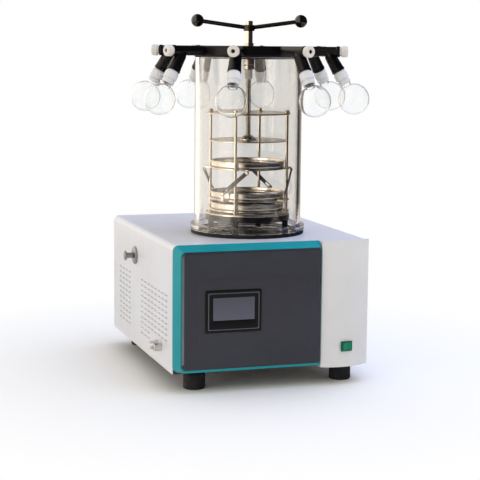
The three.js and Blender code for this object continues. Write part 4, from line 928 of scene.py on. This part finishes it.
nut = hexagon_nut(NUT_RADIUS, NUT_HEIGHT)
rod = pin(ROD_RADIUS, RACK_BASE_LOW + 1, RACK_TOP, 0.8)
washer = bush(ROD_RADIUS, 7.5, 0, 1.2, 0.4)
rack = [bush(84, half_width("rack_frame") - 1, RACK_BASE_LOW, RACK_BASE_LOW + 5, 0.8, FINE),
        bush(9, half_width("rack_frame"), *TOP_PLATE, 0.8, FINE)]
for turn in rod_turns:
    at_rod = rotated("Z", turn) @ moved(ROD_CIRCLE)
    rack.append(place(rod, at_rod))
    rack.append(place(washer, at_rod, moved(z=TOP_PLATE[1])))
    rack.append(place(nut, at_rod, moved(z=TOP_PLATE[1] + 0.8)))
piece("rack_rods", place(together(*rack), ON_AXIS), ROD_STEEL, "root", ["rack_frame"])

RACK_RING = (low("rack_base")[2], high("rack_base")[2])
STUB_RADIUS = 8
ring = bush(92, half_width("rack_base"), CASE_TOP + 37, RACK_RING[1], 2, FINE)
stub = pin(STUB_RADIUS, RACK_RING[0], CASE_TOP + 38, 1)
stubs = [place(stub, rotated("Z", turn), moved(half_width("rack_base") - STUB_RADIUS - 1))
         for turn in rod_turns]
piece("rack_foot_ring", place(together(ring, *stubs), ON_AXIS), MANIFOLD_BLACK, "root",
      ["rack_base"])

# %% [markdown]
# Three shelves hold three trays. A shelf is a shallow pressed plate whose rim is folded down,
# with a small ear round each rod. A tray is pressed from thinner sheet, with a rolled edge. The
# upper shelf can come down: four slotted hangers join its lugs to those of the middle shelf.

# %% Shelf ears, lugs and pins
SHELF_RADIUS, SHELF_HEM, EAR_WIDTH = 102, 5, 16
SHELF_RISE = {1: 175.5, 2: 92, 3: 62.3}     # each shelf's height above the cabinet
LINK_PLANE, LINK_THICKNESS, LINK_DROP = 113.8, 2, 58
LUG_WIDTH, LUG_ROOT, LUG_THICKNESS = 9, 92, 2.5
PIN_RADIUS, PIN_HEAD, PIN_DROP = 1.5, 4, 3.5
HALF_RUN = 33                 # half the way that a link runs sideways
TRAY_RADIUS, TRAY_WALL, TRAY_ROLL = 101, 1.5, 1.8
GAP = 0.3


def slab(x0, x1, y0, y1, z0, z1, radius=1.0):
    """A block with rounded upright edges and softened rims."""
    edge = min(0.5, (z1 - z0) / 4)
    rise = z1 - z0
    shape = moulded(x1 - x0, y1 - y0, radius, [(1.5 * edge, 0), (edge, 0), (0, edge),
                                               (0, rise - edge), (edge, rise), (1.5 * edge, rise)])
    return place(shape, moved((x0 + x1) / 2, (y0 + y1) / 2, z0))


def ear():
    """A lug of plate with a turned eye round the rod."""
    eye = bush(ROD_RADIUS + GAP, 7.5, 0, SHELF_HEM, 0.5)
    root = slab(SHELF_RADIUS - 4, ROD_CIRCLE - ROD_RADIUS - 1, -EAR_WIDTH / 2, EAR_WIDTH / 2,
                0.2, SHELF_HEM - 0.2)
    return together(root, place(eye, moved(ROD_CIRCLE)))


def link_lug(side, pin):
    """An arm past the rods, an upright tab and a headed pin. side is the pin's place across, pin
    its height over the shelf's underside."""
    outer = LINK_PLANE - GAP
    head = LINK_PLANE + LINK_THICKNESS + GAP
    ends = (pin - PIN_HEAD, 1) if pin < 0 else (1, pin + PIN_HEAD)
    reach = (side - LUG_WIDTH / 2, side + LUG_WIDTH / 2)
    shank = turned([(0, outer - 1), (PIN_RADIUS, outer - 1), (PIN_RADIUS, head), (PIN_HEAD, head),
                    (PIN_HEAD, head + 1.5), (0, head + 1.5)], 0.4, SLIM)
    return together(slab(LUG_ROOT, outer, *reach, 0.2, SHELF_HEM - 0.2),
                    slab(outer - LUG_THICKNESS, outer, *reach, *ends),
                    place(shank, moved(0, side, pin), OUTWARD))


# %% [markdown]
# Both plates are turned profiles. The tray's edge is a rolled bead: three quarters of a circle
# that leads from the wall's outside round to its inside.

# %% Shelf plates and trays
shelf_plate = turned([
    (0, SHELF_HEM - 2), (SHELF_RADIUS - 1.5, SHELF_HEM - 2), (SHELF_RADIUS - 1.5, 0),
    (SHELF_RADIUS, 0), (SHELF_RADIUS, SHELF_HEM), (0, SHELF_HEM)], 1, FINE)
tray_height = high("tray_1")[2] - low("tray_1")[2]
roll = np.linspace(-np.pi / 2, np.pi, 8)
rolled_edge = np.stack([TRAY_RADIUS - TRAY_ROLL + TRAY_ROLL * np.cos(roll),
                        tray_height - TRAY_ROLL + TRAY_ROLL * np.sin(roll)], axis=-1)
under = soften([(0, 0), (TRAY_RADIUS - TRAY_ROLL, 0), rolled_edge[0]], 3)
inside = soften([rolled_edge[-1], (TRAY_RADIUS - 2 * TRAY_ROLL, TRAY_WALL), (0, TRAY_WALL)], 3)
tray_shape = turned(np.concatenate([under, rolled_edge[1:-1], inside]), facets=FINE)
lugs = {1: [link_lug(HALF_RUN, -PIN_DROP)],
        2: [link_lug(-HALF_RUN, SHELF_RISE[1] - SHELF_RISE[2] - PIN_DROP - LINK_DROP)], 3: []}
for i, rise in SHELF_RISE.items():
    parts = [place(shape, rotated("Z", turn)) for turn in rod_turns for shape in [ear()] + lugs[i]]
    body = "upper_shelf" if i == 1 else "root"
    shelf = place(together(shelf_plate, *parts), ON_AXIS, moved(z=CASE_TOP + rise))
    piece(f"shelf_{i}_pressing", shelf, ROD_STEEL, body, [f"shelf_{i}"])
    piece(f"tray_{i}_pressing", place(tray_shape, ON_AXIS, moved(z=low(f"tray_{i}")[2])), TRAY_STEEL,
          body, [f"tray_{i}"])


# %% [markdown]
# Below the rack the cold trap's flange closes the casing. It is a deep drawn steel pot, so its
# mouth runs into the flange over a generous radius. Eight small socket screws hold it down.

# %% Cold trap and its screws
TRAP_RADIUS, TRAP_WALL, TRAP_FLANGE = 96.5, 1.5, 128
TRAP_SCREWS, SCREW_CIRCLE, FIRST_SCREW = 8, 122, 12
trap_low, trap_top = low("cold_trap")[2], high("cold_trap")[2]
flange_under = trap_top - 3
pot = turned([
    (0, trap_low), (TRAP_RADIUS + TRAP_WALL, trap_low), (TRAP_RADIUS + TRAP_WALL, flange_under),
    (TRAP_FLANGE, flange_under), (TRAP_FLANGE, trap_top), (TRAP_RADIUS, trap_top),
    (TRAP_RADIUS, trap_low + TRAP_WALL), (0, trap_low + TRAP_WALL)], 1.4, FINE, 5)
piece("trap_pot", place(pot, ON_AXIS), SHEET_STEEL, "root", ["cold_trap"])
screw = turned([(0, -1), (4, -1), (4, 3.5), (2.2, 3.5), (2.2, 1.5), (0, 1.5)], 0.4, SLIM)
screws = [place(screw, ON_AXIS, rotated("Z", FIRST_SCREW + 360 * i / TRAP_SCREWS),
                moved(SCREW_CIRCLE, 0, trap_top)) for i in range(TRAP_SCREWS)]
piece("trap_screws", together(*screws), DARK_STEEL, "root")


# %% [markdown]
# The front is three mouldings on one another: a teal bezel with broad bevels, a charcoal panel
# with a small bright edge, and the display's frame. Each is a stack of rounded rectangles that
# stand upright, so a ring is given by its four sides and its distance ahead of the cabinet.

# %% Bezel
def upright_ring(left, right, bottom, top, radius, ahead, steps=8, right_radius=None):
    """A rounded rectangle in the XZ plane at a distance in front of the cabinet's face."""
    outline = rectangle(right - left, top - bottom, radius, steps, right_radius)
    return np.column_stack([outline[:, 0] + (left + right) / 2, np.full(len(outline), FACE_Y - ahead),
                            outline[:, 1] + (bottom + top) / 2])


FACE_Y = CASE_LOW[1]
bezel_low, bezel_high = low("front_bezel"), high("front_bezel")
BEZEL_GAP = FACE_Y - bezel_high[1]
depth = bezel_high[1] - bezel_low[1]
BEVEL_LEFT, BEVEL_RIGHT, BEVEL_TOP = 14, 3, 14
UNDERCUT, BEVEL_BOTTOM = 5, 2               # the lower edge is drawn in, then rounded over


def bezel_ring(share, ahead, radius, inset=0.0):
    """The bezel's outline, moved by a share of the way in along its bevels."""
    return upright_ring(bezel_low[0] + BEVEL_LEFT * share + inset,
                        bezel_high[0] - BEVEL_RIGHT * share - inset,
                        bezel_low[2] + UNDERCUT + BEVEL_BOTTOM * share + inset,
                        bezel_high[2] - BEVEL_TOP * share - inset, radius, BEZEL_GAP + ahead,
                        right_radius=SQUARE_CORNER)


BEZEL_CORNER, SQUARE_CORNER = 16, 1.2       # on the left, and on the right by the column
bezel_steps = [               # share of the bevel, distance ahead, corner radius, inset
    (0, 0, BEZEL_CORNER - 1, 1), (0, 0.4, BEZEL_CORNER, 0.2), (0, 1.2, BEZEL_CORNER),
    (0, 2.6, BEZEL_CORNER), (0.04, 4, BEZEL_CORNER), (0.94, depth - 1.6, BEZEL_CORNER - 1.5),
    (1, depth - 0.4, BEZEL_CORNER - 2), (1, depth, BEZEL_CORNER - 2, 0.8), (1, depth, 8, 16),
    (1, depth - 3, 8, 16), (1, depth - 3, 12, 3), (0.1, 3, 12, 3), (0, 0, 12, 3),
    (0, 0, BEZEL_CORNER - 1, 1)]
piece("bezel_moulding", closed(np.array([bezel_ring(*step) for step in bezel_steps])), TEAL, "root",
      ["front_bezel"], sharp=40)


# %% [markdown]
# The charcoal panel is bevelled too, on three sides, and has a window for the display. Most of
# its left bevel is covered by a thin sheet of satin grey, a painted highlight that stands for the
# light caught along that edge as a thin line.

# %% Front panel and its painted highlight
def around(node, margin, radius, ahead):
    """An upright ring round a solid's box, grown by a margin."""
    lows, highs = low(node), high(node)
    return upright_ring(lows[0] - margin, highs[0] + margin, lows[2] - margin, highs[2] + margin,
                        radius, ahead)


def panel_ring(share, radius, ahead, inset=0.0):
    """The panel's outline, moved by a share of the way in along its bevels."""
    return upright_ring(panel_low[0] - PANEL_SHIFT + PANEL_BEVEL * share + inset, panel_high[0] - inset,
                        panel_low[2] + PANEL_BEVEL_UNDER * share + inset,
                        panel_high[2] - PANEL_BEVEL_TOP * share - inset, radius, ahead,
                        right_radius=SQUARE_CORNER)


PANEL_CORNER, PANEL_SHIFT = 13, 3.5
PANEL_BEVEL, PANEL_BEVEL_TOP, PANEL_BEVEL_UNDER = 9, 5, 6.5
panel_low, panel_high = low("front_panel"), high("front_panel")
panel_back, panel_front = FACE_Y - panel_high[1], FACE_Y - panel_low[1]
bevel_foot = panel_ring(0.08, PANEL_CORNER, panel_back + 1.1, 0.1)
bevel_brow = panel_ring(0.88, PANEL_CORNER, panel_front - 0.2, 0.3)
panel_rings = [
    panel_ring(0, PANEL_CORNER, panel_back), panel_ring(0, PANEL_CORNER, panel_back + 0.8),
    bevel_foot, bevel_brow, panel_ring(1, PANEL_CORNER - 0.5, panel_front, 0.4),
    panel_ring(1, PANEL_CORNER - 1, panel_front, 1.2),
    around("display_bezel", -5.4, 2, panel_front), around("display_bezel", -6, 2, panel_front),
    around("display_bezel", -6, 2, panel_back), panel_ring(0, PANEL_CORNER, panel_back)]
piece("panel_moulding", closed(np.array(panel_rings)), CHARCOAL, "root",
      ["front_panel"])

# A thin sheet of satin grey, a painted highlight, lies on the left bevel, from the upper corner's arc
# down to the lower one.
CORNER_STEPS = 8
HIGHLIGHT_SKIN, HIGHLIGHT_SHARE = 0.15, 0.75                    # its thickness, and its share of the bevel
left_side = slice(CORNER_STEPS + 1, 2 * CORNER_STEPS + 1)
out_of_bevel = np.array([-0.35, -0.94, 0]) * HIGHLIGHT_SKIN
highlight_foot = bevel_foot[left_side]
highlight_brow = highlight_foot + (bevel_brow[left_side] - highlight_foot) * HIGHLIGHT_SHARE
highlight_sheet = np.stack([highlight_foot, highlight_foot + out_of_bevel, highlight_brow + out_of_bevel, highlight_brow], axis=1)
piece("panel_edge_foil", closed(highlight_sheet), BEVEL_HIGHLIGHT_GREY, "root")


# %% [markdown]
# The display's frame is black, with a flat rim outside, a thin raised trim of grey, and a lower
# black field round the glass. Its box goes back through the panel.

# %% Display frame
display_low, display_high = low("display_bezel"), high("display_bezel")
frame_front, box_back = FACE_Y - display_low[1], FACE_Y - display_high[1]
frame_back = frame_front - 5
rim_front, field_front = frame_front - 1.2, frame_front - 2


def framed(*steps):
    """A solid of upright rings from steps of (node, margin, corner radius, distance ahead)."""
    return closed(np.array([around(*step) for step in steps]))


FRAME, GLASS = "display_bezel", "display_screen"
display_frame = framed(
    (FRAME, 0, 4, frame_back), (FRAME, 0, 4, rim_front - 1.2), (FRAME, -0.4, 4, rim_front - 0.4),
    (FRAME, -1.2, 3.5, rim_front), (FRAME, -2, 3, rim_front), (FRAME, -9, 3, rim_front),
    (FRAME, -9.3, 3, field_front), (FRAME, -10, 2.6, field_front), (GLASS, 1, 1, field_front),
    (GLASS, 0.3, 1, field_front - 0.2), (GLASS, 0.3, 1, frame_back + 0.6),
    (FRAME, -7, 1, frame_back + 0.6), (FRAME, 0, 4, frame_back))
display_box = framed((FRAME, -7, 1, box_back), (FRAME, -7, 1, frame_back + 0.4))
piece("display_frame", together(display_frame, display_box), BLACK_ABS, "root",
      ["display_bezel"], sharp=28)
display_trim = framed(
    (FRAME, -6.4, 3, rim_front - 0.3), (FRAME, -6.6, 3, frame_front - 0.6),
    (FRAME, -7.2, 3, frame_front), (FRAME, -8.2, 3, frame_front),
    (FRAME, -8.8, 3, frame_front - 0.6), (FRAME, -8.9, 3, rim_front - 0.3),
    (FRAME, -6.4, 3, rim_front - 0.3))
piece("display_trim", display_trim, TRIM_GREY, "root", sharp=50)


# %% [markdown]
# On the panel lies a film with its print left bare: a plain field a shade darker than the
# moulding, cut out round the display, a third of a millimetre thick.

# %% Overlay film
OVERLAY_LEFT, OVERLAY_RIGHT = 59, 350       # from the cabinet's left side
OVERLAY_TOP, OVERLAY_BOTTOM = 88, 254.5     # below the cabinet's top
film_back = panel_front + 0.05
film_front = film_back + 0.3
film = []
for inset, ahead in ((0, film_back), (0, film_front - 0.1), (0.1, film_front)):
    film.append(upright_ring(
        CASE_LOW[0] + OVERLAY_LEFT + inset, CASE_LOW[0] + OVERLAY_RIGHT - inset,
        CASE_TOP - OVERLAY_BOTTOM + inset, CASE_TOP - OVERLAY_TOP - inset, 4, ahead))
film += [around(FRAME, 1, 4.5, ahead) for ahead in (film_front, film_back)]
piece("overlay_film", closed(np.array(film + film[:1])), OVERLAY, "root")


# %% [markdown]
# Rubber feet are moulded round a metal stud, wide at the floor with a soft shoulder above.

# %% Feet
FOOT_RADIUS, FOOT_HEIGHT = 29, 50 - GAP
foot_shape = turned([(0, 0), (FOOT_RADIUS - 2, 0), (FOOT_RADIUS, 2.5), (FOOT_RADIUS, FOOT_HEIGHT - 9),
                     (FOOT_RADIUS - 9, FOOT_HEIGHT), (0, FOOT_HEIGHT)], 7, steps=8)
for node in ("foot_front_left", "foot_front_right", "foot_rear_left", "foot_rear_right"):
    centre = middle(node)
    piece(node + "_moulding", place(foot_shape, moved(centre[0], centre[1])), FOOT_RUBBER, "root",
          [node])


# %% [markdown]
# Two small valves stand on the left side: a vent with a knurled knob, and a drain with a barb for
# a hose and a flat lever. They are drawn along +Z and turned to point out of the wall.

# %% Side valves
WALL_X = CASE_LOW[0]
OUT_OF_WALL = rotated("Y", -90)
VENT_REACH, VENT_KNOB, VENT_KNOB_LENGTH = 18, 14, 14
vent_flange = turned([(7.5, 0.3), (25, 0.3), (25, 5), (22, 6.5), (11, 7), (7.5, 7), (7.5, 0.3)], 1)
vent_neck = turned([
    (0, -3), (10.4, -3), (10.4, 0.1), (8, 0.4), (8, VENT_REACH - GAP), (4, VENT_REACH - GAP),
    (4, VENT_REACH + 9), (0, VENT_REACH + 9)], 1)
at_vent = moved(WALL_X, *middle("vent_valve_body")[1:]) @ OUT_OF_WALL
piece("vent_fitting", place(together(vent_neck, vent_flange), at_vent), NICKEL, "root",
      ["vent_valve_body"])


def knurled(radius, length, ridges, depth, facets_per_ridge=6):
    """A disc whose radius ripples as depth * |cos| once per ridge, with softened rims."""
    angle = around_z(ridges * facets_per_ridge)
    rim = radius - depth * (1 - np.abs(np.cos(ridges * angle / 2)))
    return swept(angle, [(0, 0), (rim - 2, 0), (rim - 0.6, 0.6), (rim, 2), (rim, length - 2),
                         (rim - 0.6, length - 0.6), (rim - 2, length), (0, length)])


HEAD_LENGTH, HUB_NECK = 5, 8
knob_head = knurled(VENT_KNOB, HEAD_LENGTH, 18, 1.4)
knob_hub = pin(HUB_NECK, 0, VENT_KNOB_LENGTH - 1, 0.8, ROUND)
knob_shapes = together(knob_hub, place(knob_head, moved(z=VENT_KNOB_LENGTH - HEAD_LENGTH)))
piece("vent_knob_grip", place(knob_shapes, at_vent, moved(z=VENT_REACH)), NICKEL, "vent_knob",
      ["vent_valve_knob"])

DRAIN_REACH, NUT_REACH = 30, 14
drain_body = turned([
    (3, -2), (8.4, -2), (8.4, 0.3), (11, 0.3), (11, 19), (8, 21), (4.5, 21.5), (4.5, 24), (5.5, 25),
    (4.4, 27), (5.2, 28), (4, DRAIN_REACH), (3, DRAIN_REACH), (3, -2)], 0.5)
post = turned([(0, 8), (3.5, 8), (3.5, 18.3), (5.5, 18.5), (5.5, 20), (0, 20)], 0.4, SLIM)
drain_height = low("drain_valve_body")[2] + NUT_REACH
at_drain = moved(WALL_X, middle("drain_valve_body")[1], drain_height) @ OUT_OF_WALL
piece("drain_fitting", place(together(drain_body, place(post, moved(z=13.5), OUTWARD)), at_drain),
      CHROME, "root", ["drain_valve_body"])


# %% [markdown]
# Each louvre is pressed outward by a tool, so its slot lies under a small hood: attached along the
# top, open below, and tapered to nothing at both ends. At a share u along the hood and v down
# it, the sheet stands out by D * (1 - u^2)^0.7 * sin(v * 90 degrees).

# %% Louvre hoods
SLOT_LENGTH, SLOT_PITCH = 25, 36.5
ROW_PITCH, FIRST_ROW = 14.9, 139            # first row below the cabinet's top
LOUVRE_ROWS, SHORT_ROWS, SHORT_START = 11, 2, 5
FRONT_BANK, REAR_BANK = (50, 8), (452, 4)   # distance behind the front, slots in a row
# Behind each slot lies a grey sheet: painted shade, standing for the dark inside of the cabinet seen
# through the slot.
SLOT_HEIGHT, SLOT_SHADE_DEPTH, SLOT_SHADE_GAP = 4.5, 1.4, 0.2
HOOD_DEPTH, HOOD_DROP, HOOD_SKIN, HOOD_LIFT = 1.6, 2.2, 0.6, 1.6


def hood():
    """One hood about the middle of its upper edge, standing out of the wall along -X."""
    along = np.linspace(-1, 1, 11)[:, None]
    down = np.linspace(0, 1, 6)[None, :]
    reach = HOOD_DEPTH * np.maximum(1 - along ** 2, 0) ** 0.7
    outer = np.stack([-reach * np.sin(down * np.pi / 2) - 0.05,
                      along * (SLOT_LENGTH / 2 + 1) + 0 * down, -down * HOOD_DROP + 0 * along], axis=-1)
    inner = outer[:, ::-1] + [HOOD_SKIN, 0, 0]
    return closed(np.concatenate([outer, inner], axis=1))


hood_shape = hood()
half_length, half_height = SLOT_LENGTH / 2 - SLOT_SHADE_GAP, SLOT_HEIGHT / 2 - SLOT_SHADE_GAP
slot_shade_shape = place(slab(-half_length, half_length, -half_height, half_height, 0, 0.8, 0.5),
                    rotated("Z", 90), rotated("X", 90))
hoods, slot_shades = [], []
for row in range(LOUVRE_ROWS):
    middle_height = CASE_TOP - FIRST_ROW - row * ROW_PITCH
    height = middle_height + SLOT_HEIGHT / 2 + HOOD_LIFT
    for start, count in (FRONT_BANK, REAR_BANK):
        short = row >= LOUVRE_ROWS - SHORT_ROWS and start == FRONT_BANK[0]
        for slot in range(SHORT_START if short else 0, count):
            y = FACE_Y + start + slot * SLOT_PITCH + SLOT_LENGTH / 2
            hoods.append(place(hood_shape, moved(WALL_X, y, height)))
            slot_shades.append(place(slot_shade_shape, moved(WALL_X + SLOT_SHADE_DEPTH, y, middle_height)))
piece("louvre_hoods", together(*hoods), WHITE_PAINT, "root", sharp=50)
piece("louvre_liners", together(*slot_shades), SLOT_SHADE_GREY, "root")
